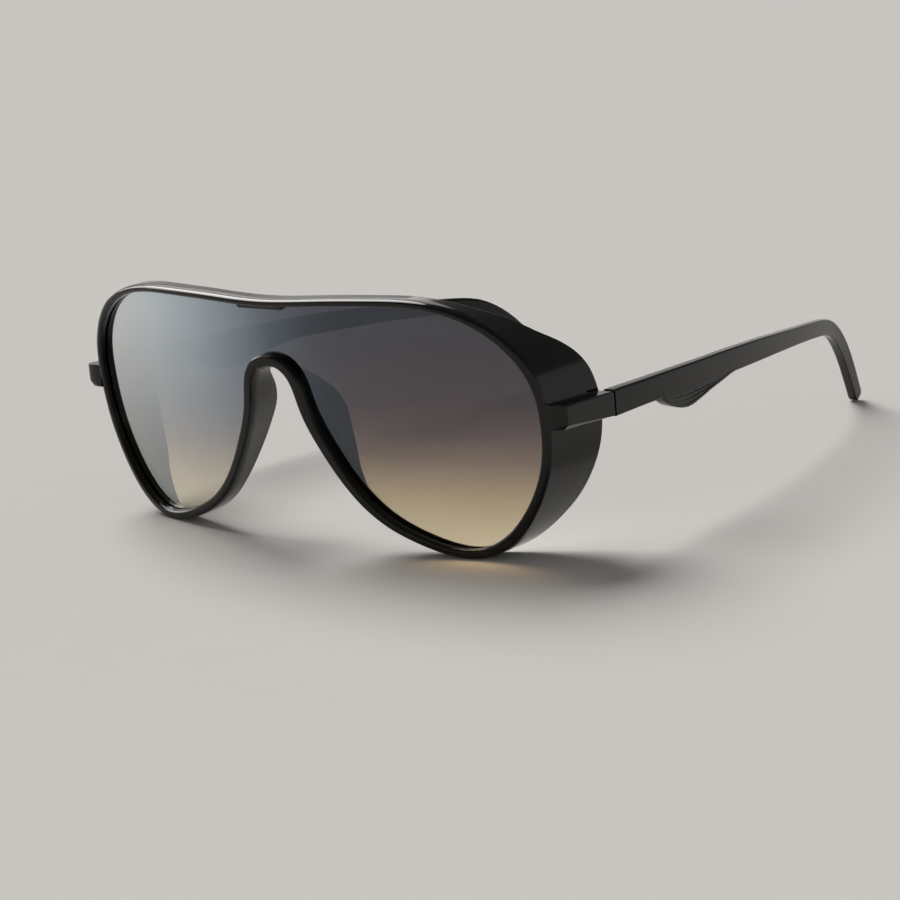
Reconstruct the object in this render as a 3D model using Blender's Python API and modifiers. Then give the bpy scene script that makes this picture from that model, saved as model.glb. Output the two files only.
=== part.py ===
"""Shield sunglasses: one wrapped lens in a moulded front, with side shields and folding temples.

The front faces -Y, the wearer's left is +X and the floor is z = 0. Lengths are in metres.
While the pieces are made, y = 0 is the lens's front at the centre, level with the hinges.
"""

import math

import bmesh
import bpy
import numpy as np
from mathutils import Matrix, Vector

# Whole object
OVERALL_WIDTH = 0.145
HINGE_HEIGHT = 0.0322
CLEARANCE = 0.0003
OVERRUN = 0.002
FOOT_FLAT = 0.00012
SHARP_ANGLE = math.radians(35)
MERGE_DISTANCE = 0.00001
SOFT_SHARE = 0.3
FINE_STEPS = 24

# Lens: the sight is what shows of it inside the rim
SIGHT_HEIGHT = 0.0547
WRAP_RADIUS = 0.2065
LEAN_ANGLE = math.radians(6.0)
LENS_THICKNESS = 0.0018
GROOVE_DEPTH = 0.0012
SIGHT_OUTLINE_SHARES = (
    (0.0, 0.982), (0.258, 0.994), (0.456, 1.0), (0.653, 0.989), (0.805, 0.9305), (0.916, 0.828),
    (0.982, 0.6965), (1.0, 0.523), (0.98, 0.349), (0.915, 0.179), (0.824, 0.0567), (0.722, 0.002),
    (0.664, 0.0), (0.532, 0.04), (0.395, 0.1225), (0.296, 0.236), (0.202, 0.413), (0.147, 0.567),
    (0.1155, 0.6965), (0.068, 0.757), (0.034, 0.773), (0.0, 0.777),
)

# Front: a rim bead round the lens, deepened into side shields and nose pads
RIM_WIDTH = 0.0021
RIM_DEPTH = 0.0033
FRONT_LIP = 0.0021
REAR_LIP = 0.0007
BEAD_ROUND = 0.0008
EDGE_ROUND = 0.0004
FRONT_WALL = 0.0016
SHIELD_DEPTH = 0.0164
SHIELD_FLARE = 0.00075
PAD_DEPTH = 0.0096
PAD_FLARE = 0.0026
BOTTOM_WIDTH_SHARE = 1.1
RIM_WIDTH_SHARES = (
    (0.0, 0.87), (0.25, 0.87), (0.35, 0.95), (0.5, 0.98), (0.6, BOTTOM_WIDTH_SHARE),
    (0.68, BOTTOM_WIDTH_SHARE), (0.82, 1.27), (0.9, 1.4), (1.0, 1.38),
)
WALL_SHARES = ((0.0, 1.0), (0.76, 1.0), (0.88, 1.3), (0.94, 1.3), (0.98, 1.0), (1.0, 1.0))
SHIELD_SHARES = (
    (0.0, 0.0), (0.237, 0.0), (0.264, 0.048), (0.276, 0.077), (0.288, 0.143), (0.299, 0.226),
    (0.311, 0.309), (0.323, 0.381), (0.334, 0.472), (0.345, 0.612), (0.357, 0.755),
    (0.368, 0.856), (0.379, 0.919), (0.389, 0.953), (0.412, 0.982), (0.424, 1.0),
    (0.46, 0.963), (0.5, 0.866), (0.535, 0.738), (0.56, 0.567), (0.587, 0.396),
    (0.61, 0.246), (0.635, 0.107), (0.66, 0.0), (1.0, 0.0),
)
PAD_SHARES = (
    (0.0, 0.0), (0.78, 0.0), (0.822, 0.29), (0.84, 0.5), (0.866, 0.76), (0.9, 1.0),
    (0.92, 0.85), (0.934, 0.5), (0.948, 0.1), (0.958, 0.0), (1.0, 0.0),
)
OUTLINE_STATIONS = 84
TURN_WEIGHT = 0.007
TAB_WIDTH = 0.0136
TAB_DROP = 0.0006
TAB_ROOT = 0.0005

# End blocks, which carry the hinges
BLOCK_REACH = 0.0067
BLOCK_LEAD = 0.00176
BLOCK_LENGTH = 0.0185
BLOCK_ROOT = 0.0053
BLOCK_CORNER = 0.0016
BLOCK_FRONT_HEIGHT = 0.0053
BLOCK_REAR_HEIGHT = 0.0055
BLOCK_RISE = 0.0007
BLOCK_CHAMFER = 0.0011
BLOCK_EDGE = 0.0004
CORNER_STEPS = 6
LUG_INSET = 0.00645
LUG_THICKNESS = 0.0016
LUG_LENGTH = 0.0117
LUG_HEIGHT = 0.0064

# Hinges: three knuckles on a screw, with a screwed leaf on each side
HINGE_INSET = 0.0066
SEAM_GAP = 0.0003
HINGE_GAP = 0.00015
BARREL_RADIUS = 0.00125
LEAF_THICKNESS = 0.0008
LEAF_HEIGHT = 0.0034
FRONT_LEAF_LENGTH = 0.0078
TEMPLE_LEAF_LENGTH = 0.0094
KNUCKLE_ROOT = 0.0013
HINGE_SCREW_RADIUS = 0.00055
HINGE_HEAD_RADIUS = 0.00095
HINGE_HEAD_HEIGHT = 0.0004
LEAF_SCREW_RADIUS = 0.0005
LEAF_HEAD_RADIUS = 0.0009
LEAF_HEAD_HEIGHT = 0.0004
LEAF_SCREW_LENGTH = 0.0022
LEAF_SCREW_MARGIN = 0.0016
TEMPLE_SCREW_MARGIN = 0.0024
SLOT_WIDTH = 0.0003
SLOT_DEPTH = 0.0002
ROUND_STEPS = 20

# Temples
TEMPLE_REACH = 0.1381
TEMPLE_THICKNESS = 0.0034
TEMPLE_HEIGHT = 0.0056
TIP_HEIGHT = 0.00025
TIP_ROUND = 0.0018
BOW_RADIUS = 0.43
TEMPLE_LINE_SHARES = (
    (0.0, 0.0), (0.246, 0.027), (0.471, 0.0747), (0.652, 0.136), (0.762, 0.186),
    (0.823, 0.24), (0.879, 0.377), (0.923, 0.558), (0.959, 0.756), (1.0, 1.0),
)
TEMPLE_HEIGHT_SHARES = (
    (0.0, 1.05), (0.09, 1.0), (0.3, 1.0), (0.37, 0.965), (0.45, 0.91), (0.53, 0.82),
    (0.62, 0.75), (0.72, 0.72), (0.85, 0.72), (1.0, 0.65),
)
TEMPLE_THICKNESS_SHARES = ((0.0, 1.0), (0.3, 0.88), (0.7, 0.82), (1.0, 0.82))
OUTER_EDGE = 0.0006
INNER_EDGE = 0.001
TEMPLE_STATIONS = 40
TIP_STEPS = 4
SWELL_START = 0.0178
SWELL_LENGTH = 0.0346
SWELL_DROP = 0.00405
SWELL_SHARES = (
    (0.0, 0.0), (0.035, 0.222), (0.064, 0.383), (0.1, 0.55), (0.15, 0.704), (0.208, 0.852),
    (0.266, 0.951), (0.324, 1.0), (0.382, 0.963), (0.44, 0.864), (0.5, 0.75), (0.584, 0.58),
    (0.67, 0.432), (0.757, 0.309), (0.844, 0.173), (0.916, 0.062), (1.0, 0.0),
)
RIDGE_SHARES = (0.25, 0.5, 0.75)
RIDGE_RUN_SHARES = (0.12, 0.6)
RIDGE_STATIONS = 9
RIDGE_WIDTH = 0.00028
RIDGE_PROUD = 0.0001
RIDGE_DEPTH = 0.00022

# Places worked out from the sizes above
HALF_WIDTH = OVERALL_WIDTH / 2
SIGHT_HALF = HALF_WIDTH - BLOCK_REACH
SIDE_FRONT = WRAP_RADIUS - math.sqrt(WRAP_RADIUS ** 2 - SIGHT_HALF ** 2)
BLOCK_FRONT = SIDE_FRONT - BLOCK_LEAD
BLOCK_REAR = BLOCK_FRONT + BLOCK_LENGTH
LUG_FRONT = BLOCK_REAR - LUG_LENGTH
LEAN_SLOPE = math.tan(LEAN_ANGLE)
GROOVE_BACK = LENS_THICKNESS + CLEARANCE
BEAD_BACK = GROOVE_BACK + REAR_LIP
LENS_SEAT = GROOVE_DEPTH - CLEARANCE
SIGHT_BOTTOM = RIM_WIDTH * BOTTOM_WIDTH_SHARE - FOOT_FLAT
TEMPLE_FRONT = BLOCK_REAR + SEAM_GAP
HINGE_X = HALF_WIDTH - HINGE_INSET
HINGE_Y = BLOCK_REAR + SEAM_GAP / 2
POCKET_REACH = BARREL_RADIUS + CLEARANCE
KNUCKLE_HEIGHT = (LEAF_HEIGHT - 2 * HINGE_GAP) / 3
LUG_FACE = HALF_WIDTH - LUG_INSET
TEMPLE_INNER = HALF_WIDTH - TEMPLE_THICKNESS
SIDES = {"left": 1, "right": -1}


def new_collection(name):
    collection = bpy.data.collections.new(name)
    bpy.context.scene.collection.children.link(collection)
    return collection


def plain_material(name, colour, roughness, metallic):
    material = bpy.data.materials.new(name)
    material.use_nodes = True
    shader = material.node_tree.nodes["Principled BSDF"]
    shader.inputs["Base Color"].default_value = (*colour, 1)
    shader.inputs["Roughness"].default_value = roughness
    shader.inputs["Metallic"].default_value = metallic
    material.diffuse_color = (*colour, 1)
    return material


def black_plastic():
    return plain_material("gloss_black_plastic", (0.012, 0.011, 0.011), 0.12, 0.0)


def lens_tint():
    material = plain_material("smoke_gradient_lens", (0.09, 0.075, 0.08), 0.03, 0.0)
    material.node_tree.nodes["Principled BSDF"].inputs["Transmission Weight"].default_value = 0.85
    return material


def hinge_steel():
    return plain_material("hinge_steel", (0.62, 0.6, 0.57), 0.25, 1.0)


def place(name, mesh_data, collection, material=None):
    """A new object from a bmesh, shaded smooth except over its sharp edges."""
    bmesh.ops.recalc_face_normals(mesh_data, faces=mesh_data.faces)
    mesh = bpy.data.meshes.new(name)
    mesh_data.to_mesh(mesh)
    mesh_data.free()
    mesh.shade_smooth()
    mesh.set_sharp_from_angle(angle=SHARP_ANGLE)
    piece = bpy.data.objects.new(name, mesh)
    collection.objects.link(piece)
    if material:
        mesh.materials.append(material)
    else:
        piece.display_type = "WIRE"
        piece.hide_render = True
    return piece


def apply_tool(piece, tool, operation):
    step = piece.modifiers.new(tool.name, "BOOLEAN")
    step.operation = operation
    step.object = tool
    step.solver = "EXACT"


def mirror_across(piece):
    step = piece.modifiers.new("other_half", "MIRROR")
    step.use_axis = (True, False, False)
    step.merge_threshold = MERGE_DISTANCE


def hinge_at_origin(piece, side):
    """Moves a piece's origin on to its hinge axis, without moving the piece."""
    axis = Vector((side * HINGE_X, HINGE_Y, HINGE_HEIGHT))
    piece.data.transform(Matrix.Translation(-axis))
    piece.location = axis


def add_box(mesh_data, low, high):
    """A cube scaled between two corners, given in any order."""
    low = Vector(low)
    high = Vector(high)
    size = high - low
    scale = Matrix.Diagonal((abs(size.x), abs(size.y), abs(size.z), 1))
    bmesh.ops.create_cube(mesh_data, size=1, matrix=Matrix.Translation((low + high) / 2) @ scale)


def add_rod(mesh_data, start, end, radius):
    start = Vector(start)
    end = Vector(end)
    along = end - start
    turn = Vector((0, 0, 1)).rotation_difference(along).to_matrix().to_4x4()
    bmesh.ops.create_cone(
        mesh_data, cap_ends=True, segments=ROUND_STEPS, radius1=radius, radius2=radius,
        depth=along.length, matrix=Matrix.Translation((start + end) / 2) @ turn)


def add_loft(mesh_data, rings, capped):
    """Faces between rings of equally many points, with flat ends where it is capped."""
    loops = [[mesh_data.verts.new(point) for point in ring] for ring in rings]
    for one, other in zip(loops, loops[1:]):
        for k in range(len(one)):
            nxt = (k + 1) % len(one)
            mesh_data.faces.new((one[k], one[nxt], other[nxt], other[k]))
    if capped:
        mesh_data.faces.new(loops[0])
        mesh_data.faces.new(loops[-1])


def hermite(stops, values, slopes, at):
    """Cubic curve through the values with the given slopes, at the places asked for."""
    k = np.clip(np.searchsorted(stops, at, side="right") - 1, 0, len(stops) - 2)
    gap = stops[k + 1] - stops[k]
    t = (at - stops[k]) / gap
    if values.ndim > 1:
        gap = gap[:, None]
        t = t[:, None]
    rise = t * t * (3 - 2 * t)
    return (values[k] * (1 - rise) + values[k + 1] * rise
            + slopes[k] * gap * t * (1 - t) ** 2 - slopes[k + 1] * gap * t * t * (1 - t))


def smooth_line(points, first_slope, last_slope, count):
    """Evenly bending curve through points, as many samples as asked, with set end directions."""
    points = np.array(points)
    stops = np.concatenate(([0], np.cumsum(np.linalg.norm(np.diff(points, axis=0), axis=1))))
    gaps = np.diff(stops)
    steps = np.diff(points, axis=0) / gaps[:, None]
    weights = np.eye(len(stops))
    wanted = np.zeros_like(points)
    wanted[0] = first_slope
    wanted[-1] = last_slope
    for k in range(1, len(stops) - 1):
        weights[k, k - 1:k + 2] = gaps[k], 2 * (gaps[k - 1] + gaps[k]), gaps[k - 1]
        wanted[k] = 3 * (gaps[k] * steps[k - 1] + gaps[k - 1] * steps[k])
    slopes = np.linalg.solve(weights, wanted)
    return hermite(stops, points, slopes, np.linspace(0, stops[-1], count))


def from_table(shares, at):
    """Smooth value from a table of places and shares, without overshooting any of them."""
    stops, values = np.array(shares).T
    steps = np.diff(values) / np.diff(stops)
    slopes = np.zeros(len(stops))
    for k in range(1, len(stops) - 1):
        if steps[k - 1] * steps[k] > 0:
            slopes[k] = 2 / (1 / steps[k - 1] + 1 / steps[k])
    return float(hermite(stops, values, slopes, np.array([at]))[0])


def lens_front(x, z):
    """The y of the lens's front: a cylinder that wraps the face and leans back to the cheeks."""
    wrap = WRAP_RADIUS - math.sqrt(WRAP_RADIUS ** 2 - x ** 2)
    return wrap - LEAN_SLOPE * (z - HINGE_HEIGHT)


def sight_stations():
    """Points round half of the sight: x, z, the direction away from the lens, and the share."""
    corners = [(x * SIGHT_HALF, SIGHT_BOTTOM + z * SIGHT_HEIGHT)
               for x, z in SIGHT_OUTLINE_SHARES]
    line = smooth_line(corners, (1, 0), (-1, 0), FINE_STEPS * OUTLINE_STATIONS)
    steps = np.diff(line, axis=0)
    lengths = np.linalg.norm(steps, axis=1)
    headings = np.unwrap(np.arctan2(steps[:, 1], steps[:, 0]))
    turning = np.abs(np.diff(headings, prepend=0))
    along = np.concatenate(([0], np.cumsum(lengths)))
    measure = np.concatenate(([0], np.cumsum(lengths + TURN_WEIGHT * turning)))
    places = np.interp(np.linspace(0, measure[-1], OUTLINE_STATIONS), measure, along)
    middles = (along[1:] + along[:-1]) / 2
    stations = []
    for place_along in places:
        x = np.interp(place_along, along, line[:, 0])
        z = np.interp(place_along, along, line[:, 1])
        heading = np.interp(place_along, middles, headings)
        away = (-math.sin(heading), math.cos(heading))
        stations.append((x, z, away, place_along / along[-1]))
    first, last = stations[0], stations[-1]
    stations[0] = (0, first[1], (0, 1), 0)
    stations[-1] = (0, last[1], (0, -1), 1)
    return stations


def rim_section(share):
    """Outline of the front's wall: away from the sight, and behind the lens's front."""
    width = RIM_WIDTH * from_table(RIM_WIDTH_SHARES, share)
    wall = FRONT_WALL * from_table(WALL_SHARES, share)
    shield = from_table(SHIELD_SHARES, share)
    pad = from_table(PAD_SHARES, share)
    depth = RIM_DEPTH + (SHIELD_DEPTH - RIM_DEPTH) * shield + (PAD_DEPTH - RIM_DEPTH) * pad
    flare = SHIELD_FLARE * shield - PAD_FLARE * pad
    root = width - wall
    crest = -FRONT_LIP
    bead = SOFT_SHARE * BEAD_ROUND
    edge = min(EDGE_ROUND, (depth - BEAD_BACK) / 2)
    middle = (BEAD_BACK + depth - edge) / 2
    return (
        (0, -CLEARANCE), (0, crest + BEAD_ROUND), (bead, crest + bead), (BEAD_ROUND, crest),
        (width - BEAD_ROUND, crest), (width - bead, crest + bead), (width, crest + BEAD_ROUND),
        (width, GROOVE_BACK), (width + flare / 2, middle), (width + flare, depth - edge),
        (width + flare - edge, depth), (root + flare + edge, depth),
        (root + flare, depth - edge), (root + flare / 2, middle), (root, BEAD_BACK),
        (0, BEAD_BACK - REAR_LIP / 2), (0, GROOVE_BACK), (GROOVE_DEPTH, GROOVE_BACK),
        (GROOVE_DEPTH, -CLEARANCE),
    )


def front_frame(collection, tools, material):
    """The moulded front: rim, shields and pads in one wall, lofted round half of the sight."""
    rings = []
    for x, z, away, share in sight_stations():
        ring = []
        for out, depth in rim_section(share):
            across = x + out * away[0]
            up = max(z + out * away[1], 0)
            ring.append((across, lens_front(across, up) + depth, up))
        rings.append(ring)
    mesh_data = bmesh.new()
    add_loft(mesh_data, rings, capped=False)
    piece = place("front_frame", mesh_data, collection, material)
    mirror_across(piece)
    apply_tool(piece, end_block_form(tools), "UNION")
    apply_tool(piece, hinge_lug_form(tools), "UNION")
    apply_tool(piece, lip_tab_form(tools), "UNION")
    apply_tool(piece, hinge_pocket_cutter("barrel_pocket_cutter", tools, HINGE_X + POCKET_REACH,
                                          LUG_HEIGHT / 2 + CLEARANCE), "DIFFERENCE")
    apply_tool(piece, hinge_pocket_cutter("eye_slot_cutter", tools, TEMPLE_INNER + CLEARANCE,
                                          KNUCKLE_HEIGHT / 2 + CLEARANCE), "DIFFERENCE")
    apply_tool(piece, front_leaf_cutter(tools), "DIFFERENCE")
    apply_tool(piece, leaf_hole_cutter("front_screw_holes", tools, front_screw_places(),
                                       LUG_FACE - OVERRUN, LEAF_SCREW_LENGTH), "DIFFERENCE")
    return piece


def end_block_form(tools):
    """A block that turns back from the rim to the flat face outside each hinge."""
    root = HALF_WIDTH - BLOCK_ROOT
    places = []
    for k in range(CORNER_STEPS + 1):
        turn = math.pi / 2 * k / CORNER_STEPS
        places.append((BLOCK_FRONT + BLOCK_CORNER * (1 - math.cos(turn)),
                       root + BLOCK_EDGE * 2 + (BLOCK_ROOT - BLOCK_EDGE * 2) * math.sin(turn)))
    places.append((BLOCK_REAR - BLOCK_EDGE / 2, HALF_WIDTH))
    places.append((BLOCK_REAR, HALF_WIDTH - BLOCK_EDGE / 2))
    rings = []
    for y, outer in places:
        share = (y - BLOCK_FRONT) / (BLOCK_REAR - BLOCK_FRONT)
        half = (BLOCK_FRONT_HEIGHT + (BLOCK_REAR_HEIGHT - BLOCK_FRONT_HEIGHT) * share) / 2
        middle = HINGE_HEIGHT + BLOCK_RISE * (1 - share)
        chamfer = min(BLOCK_CHAMFER * (1 - share), (outer - root) / 2) + BLOCK_EDGE / 2
        edge = min(BLOCK_EDGE, (outer - root) / 2)
        rings.append((
            (root, y, middle - half), (outer - chamfer, y, middle - half),
            (outer, y, middle - half + chamfer), (outer, y, middle + half - edge),
            (outer - edge, y, middle + half), (root, y, middle + half)))
    mesh_data = bmesh.new()
    add_loft(mesh_data, rings, capped=True)
    form = place("end_block_form", mesh_data, tools)
    mirror_across(form)
    return form


def hinge_lug_form(tools):
    """A pad inside each shield, which gives the front leaf a flat seat."""
    mesh_data = bmesh.new()
    for side in SIDES.values():
        add_box(mesh_data, (side * LUG_FACE, LUG_FRONT, HINGE_HEIGHT - LUG_HEIGHT / 2),
                (side * (LUG_FACE + LUG_THICKNESS), HINGE_Y, HINGE_HEIGHT + LUG_HEIGHT / 2))
    return place("hinge_lug_form", mesh_data, tools)


def lip_tab_form(tools):
    """The wider stretch of the front lip at the middle of the upper rim, over the lens's edge."""
    top = SIGHT_BOTTOM + SIGHT_OUTLINE_SHARES[0][1] * SIGHT_HEIGHT
    corners = ((top - TAB_DROP, -FRONT_LIP + BEAD_ROUND), (top - TAB_DROP, -CLEARANCE),
               (top + TAB_ROOT, -CLEARANCE), (top + TAB_ROOT, -FRONT_LIP + BEAD_ROUND))
    rings = [[(x, lens_front(0, z) + depth, z) for z, depth in corners]
             for x in (-TAB_WIDTH / 2, TAB_WIDTH / 2)]
    mesh_data = bmesh.new()
    add_loft(mesh_data, rings, capped=True)
    return place("lip_tab_form", mesh_data, tools)


def hinge_pocket_cutter(name, tools, outer, half):
    """A notch across the rear end of each lug, as far out and as high as it is given."""
    mesh_data = bmesh.new()
    for side in SIDES.values():
        add_box(mesh_data, (side * (LUG_FACE - OVERRUN), HINGE_Y - POCKET_REACH, HINGE_HEIGHT - half),
                (side * outer, HINGE_Y + OVERRUN, HINGE_HEIGHT + half))
    return place(name, mesh_data, tools)


def front_leaf_cutter(tools):
    """The seats in the lugs that the front leaves lie in."""
    mesh_data = bmesh.new()
    half = LEAF_HEIGHT / 2 + CLEARANCE
    front = HINGE_Y - BARREL_RADIUS - FRONT_LEAF_LENGTH - CLEARANCE
    for side in SIDES.values():
        add_box(mesh_data, (side * (LUG_FACE - OVERRUN), front, HINGE_HEIGHT - half),
                (side * (LUG_FACE + LEAF_THICKNESS + CLEARANCE), HINGE_Y, HINGE_HEIGHT + half))
    return place("front_leaf_cutter", mesh_data, tools)


def front_screw_places():
    rear = HINGE_Y - BARREL_RADIUS - LEAF_SCREW_MARGIN
    front = HINGE_Y - BARREL_RADIUS - FRONT_LEAF_LENGTH + LEAF_SCREW_MARGIN
    return [(side, y) for side in SIDES.values() for y in (front, rear)]


def temple_screw_places(side):
    front = TEMPLE_FRONT + TEMPLE_SCREW_MARGIN
    rear = TEMPLE_FRONT + TEMPLE_LEAF_LENGTH - LEAF_SCREW_MARGIN
    return [(side, y) for y in (front, rear)]


def leaf_hole_cutter(name, tools, places, start, length):
    """Holes for the leaf screws, from the inner side outwards."""
    mesh_data = bmesh.new()
    for side, y in places:
        add_rod(mesh_data, (side * start, y, HINGE_HEIGHT),
                (side * (start + OVERRUN + length + CLEARANCE), y, HINGE_HEIGHT),
                LEAF_SCREW_RADIUS + HINGE_GAP)
    return place(name, mesh_data, tools)


def shield_lens(collection, tools, material):
    """One wrapped sheet over both eyes, cut to fit the groove."""
    half = SIGHT_HALF + GROOVE_DEPTH
    low = -OVERRUN
    high = SIGHT_BOTTOM + SIGHT_HEIGHT + OVERRUN
    rings = []
    for x in np.linspace(-half, half, OUTLINE_STATIONS // 2):
        rings.append([(x, lens_front(x, z) + depth, z) for z, depth in (
            (low, 0), (low, LENS_THICKNESS), (high, LENS_THICKNESS), (high, 0))])
    mesh_data = bmesh.new()
    add_loft(mesh_data, rings, capped=True)
    piece = place("shield_lens", mesh_data, collection, material)
    apply_tool(piece, lens_blank_form(tools), "INTERSECT")
    return piece


def lens_blank_form(tools):
    """The lens's outline, LENS_SEAT outside the sight, pulled straight back."""
    front = lens_front(0, SIGHT_BOTTOM + SIGHT_HEIGHT) - OVERRUN
    back = lens_front(SIGHT_HALF, 0) + LENS_THICKNESS + OVERRUN
    outline = [(x + away[0] * LENS_SEAT, z + away[1] * LENS_SEAT)
               for x, z, away, share in sight_stations()]
    outline += [(-x, z) for x, z in reversed(outline[1:-1])]
    rings = [[(x, y, z) for x, z in outline] for y in (front, back)]
    mesh_data = bmesh.new()
    add_loft(mesh_data, rings, capped=True)
    return place("lens_blank_form", mesh_data, tools)


def temple_line():
    """Samples along the middle of a temple, seen from the side, and their distances along it."""
    drop = HINGE_HEIGHT - TIP_HEIGHT
    corners = [(TEMPLE_FRONT + y * TEMPLE_REACH, HINGE_HEIGHT - z * drop)
               for y, z in TEMPLE_LINE_SHARES]
    last = np.subtract(corners[-1], corners[-2])
    line = smooth_line(corners, (1, 0), last / np.linalg.norm(last), FINE_STEPS * TEMPLE_STATIONS)
    along = np.concatenate(([0], np.cumsum(np.linalg.norm(np.diff(line, axis=0), axis=1))))
    return line, along


def temple_places(length):
    """Distances along a temple: even steps, closer over the swell, and a rounded tip."""
    end = length - TIP_ROUND
    swell = [SWELL_START + share * SWELL_LENGTH for share, drop in SWELL_SHARES]
    even = list(np.linspace(0, end, TEMPLE_STATIONS))
    step = end / TEMPLE_STATIONS
    kept = [s for s in even if min(abs(s - t) for t in swell) > step / 3]
    tip = [end + TIP_ROUND * math.sin(math.pi / 2 * k / TIP_STEPS) for k in range(1, TIP_STEPS)]
    return sorted(kept + swell) + tip


def temple_section(across, height, below):
    """Half-flat outer face, softer inner edges: distance inwards and height above the middle."""
    top = height / 2
    bottom = -height / 2 - below
    outer = min(OUTER_EDGE, across / 3, height / 3)
    inner = min(INNER_EDGE, across / 3, height / 3)
    outer_soft = outer * SOFT_SHARE
    inner_soft = inner * SOFT_SHARE
    return (
        (0, top - outer), (outer_soft, top - outer_soft), (outer, top),
        (across - inner, top), (across - inner_soft, top - inner_soft), (across, top - inner),
        (across, bottom + inner), (across - inner_soft, bottom + inner_soft),
        (across - inner, bottom),
        (outer, bottom), (outer_soft, bottom + outer_soft), (0, bottom + outer))


def temple(name, side, collection, tools, material):
    """A flat arm, bowed in along the head, with a swell under it and a drop behind the ear."""
    line, along = temple_line()
    headings = np.gradient(line, along, axis=0)
    length = along[-1]
    rings = []
    for distance in temple_places(length):
        y = np.interp(distance, along, line[:, 0])
        z = np.interp(distance, along, line[:, 1])
        ahead = np.interp(distance, along, headings[:, 0])
        rise = np.interp(distance, along, headings[:, 1])
        share = distance / length
        into_tip = max(distance - length + TIP_ROUND, 0) / TIP_ROUND
        shrink = math.sqrt(1 - into_tip ** 2)
        height = TEMPLE_HEIGHT * from_table(TEMPLE_HEIGHT_SHARES, share) * shrink
        across = TEMPLE_THICKNESS * from_table(TEMPLE_THICKNESS_SHARES, share)
        into_swell = min(max((distance - SWELL_START) / SWELL_LENGTH, 0), 1)
        below = SWELL_DROP * from_table(SWELL_SHARES, into_swell)
        outer = HALF_WIDTH - (y - TEMPLE_FRONT) ** 2 / (2 * BOW_RADIUS)
        outer -= across * (1 - shrink) / 2
        ring = []
        for inwards, up in temple_section(across * shrink, height, below):
            ring.append((side * (outer - inwards), y - up * rise, max(z + up * ahead, 0)))
        rings.append(ring)
    mesh_data = bmesh.new()
    add_loft(mesh_data, rings, capped=True)
    piece = place(name, mesh_data, collection, material)
    hinge_at_origin(piece, side)
    apply_tool(piece, temple_leaf_cutter(name + "_leaf_cutter", side, tools), "DIFFERENCE")
    apply_tool(piece, leaf_hole_cutter(name + "_screw_holes", tools, temple_screw_places(side),
                                       TEMPLE_INNER - OVERRUN, LEAF_SCREW_LENGTH), "DIFFERENCE")
    apply_tool(piece, ridge_cutter(name + "_ridge_cutter", side, tools), "DIFFERENCE")
    return piece


def temple_leaf_cutter(name, side, tools):
    """The seat for the rear leaf, open at the temple's front end."""
    mesh_data = bmesh.new()
    half = LEAF_HEIGHT / 2 + CLEARANCE
    add_box(mesh_data, (side * (TEMPLE_INNER - OVERRUN), TEMPLE_FRONT - OVERRUN, HINGE_HEIGHT - half),
            (side * (TEMPLE_INNER + LEAF_THICKNESS + CLEARANCE),
             TEMPLE_FRONT + TEMPLE_LEAF_LENGTH + CLEARANCE, HINGE_HEIGHT + half))
    return place(name, mesh_data, tools)


def ridge_cutter(name, side, tools):
    """Fine grooves along the outside of the swell, spread between the arm's edge and its own."""
    mesh_data = bmesh.new()
    line, along = temple_line()
    for share in RIDGE_SHARES:
        rings = []
        for run in np.linspace(*RIDGE_RUN_SHARES, RIDGE_STATIONS):
            y = TEMPLE_FRONT + SWELL_START + run * SWELL_LENGTH
            face = HALF_WIDTH - (y - TEMPLE_FRONT) ** 2 / (2 * BOW_RADIUS)
            edge = np.interp(y, line[:, 0], line[:, 1]) - TEMPLE_HEIGHT / 2
            middle = edge - share * SWELL_DROP * from_table(SWELL_SHARES, run)
            rings.append([
                (side * (face - RIDGE_DEPTH), y, middle),
                (side * (face + RIDGE_PROUD), y, middle + RIDGE_WIDTH),
                (side * (face + RIDGE_PROUD), y, middle - RIDGE_WIDTH)])
        add_loft(mesh_data, rings, capped=True)
    return place(name, mesh_data, tools)


def knuckle_outline(root_low, root_high):
    """An eye round the hinge axis, drawn out to the leaf that it belongs to."""
    flat = bmesh.new()
    for k in range(ROUND_STEPS):
        turn = 2 * math.pi * k / ROUND_STEPS
        flat.verts.new((BARREL_RADIUS * math.cos(turn), BARREL_RADIUS * math.sin(turn), 0))
    for x in (root_low[0], root_high[0]):
        for y in (root_low[1], root_high[1]):
            flat.verts.new((x, y, 0))
    points = [vert.co.copy() for vert in flat.verts]
    flat.free()
    return convex_ring(points)


def convex_ring(points):
    """The points on the outside of a flat group, in order round it."""
    points = sorted(points, key=lambda point: (point.x, point.y))
    chains = []
    for run in (points, points[::-1]):
        chain = []
        for point in run:
            while len(chain) > 1:
                first = chain[-1] - chain[-2]
                second = point - chain[-1]
                if first.x * second.y - first.y * second.x > 0:
                    break
                chain.pop()
            chain.append(point)
        chains += chain[:-1]
    return chains


def knuckle_form(name, side, tools, root_low, root_high, floors):
    """One eye for each height given, standing on the hinge axis."""
    outline = knuckle_outline(root_low, root_high)
    mesh_data = bmesh.new()
    for floor in floors:
        rings = [[(side * (HINGE_X + point.x), HINGE_Y + point.y, HINGE_HEIGHT + z)
                  for point in outline] for z in (floor, floor + KNUCKLE_HEIGHT)]
        add_loft(mesh_data, rings, capped=True)
    return place(name, mesh_data, tools)


def leaf_bore_cutter(name, side, tools):
    mesh_data = bmesh.new()
    half = LEAF_HEIGHT / 2 + OVERRUN
    add_rod(mesh_data, (side * HINGE_X, HINGE_Y, HINGE_HEIGHT - half),
            (side * HINGE_X, HINGE_Y, HINGE_HEIGHT + half), HINGE_SCREW_RADIUS + HINGE_GAP)
    return place(name, mesh_data, tools)


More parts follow.
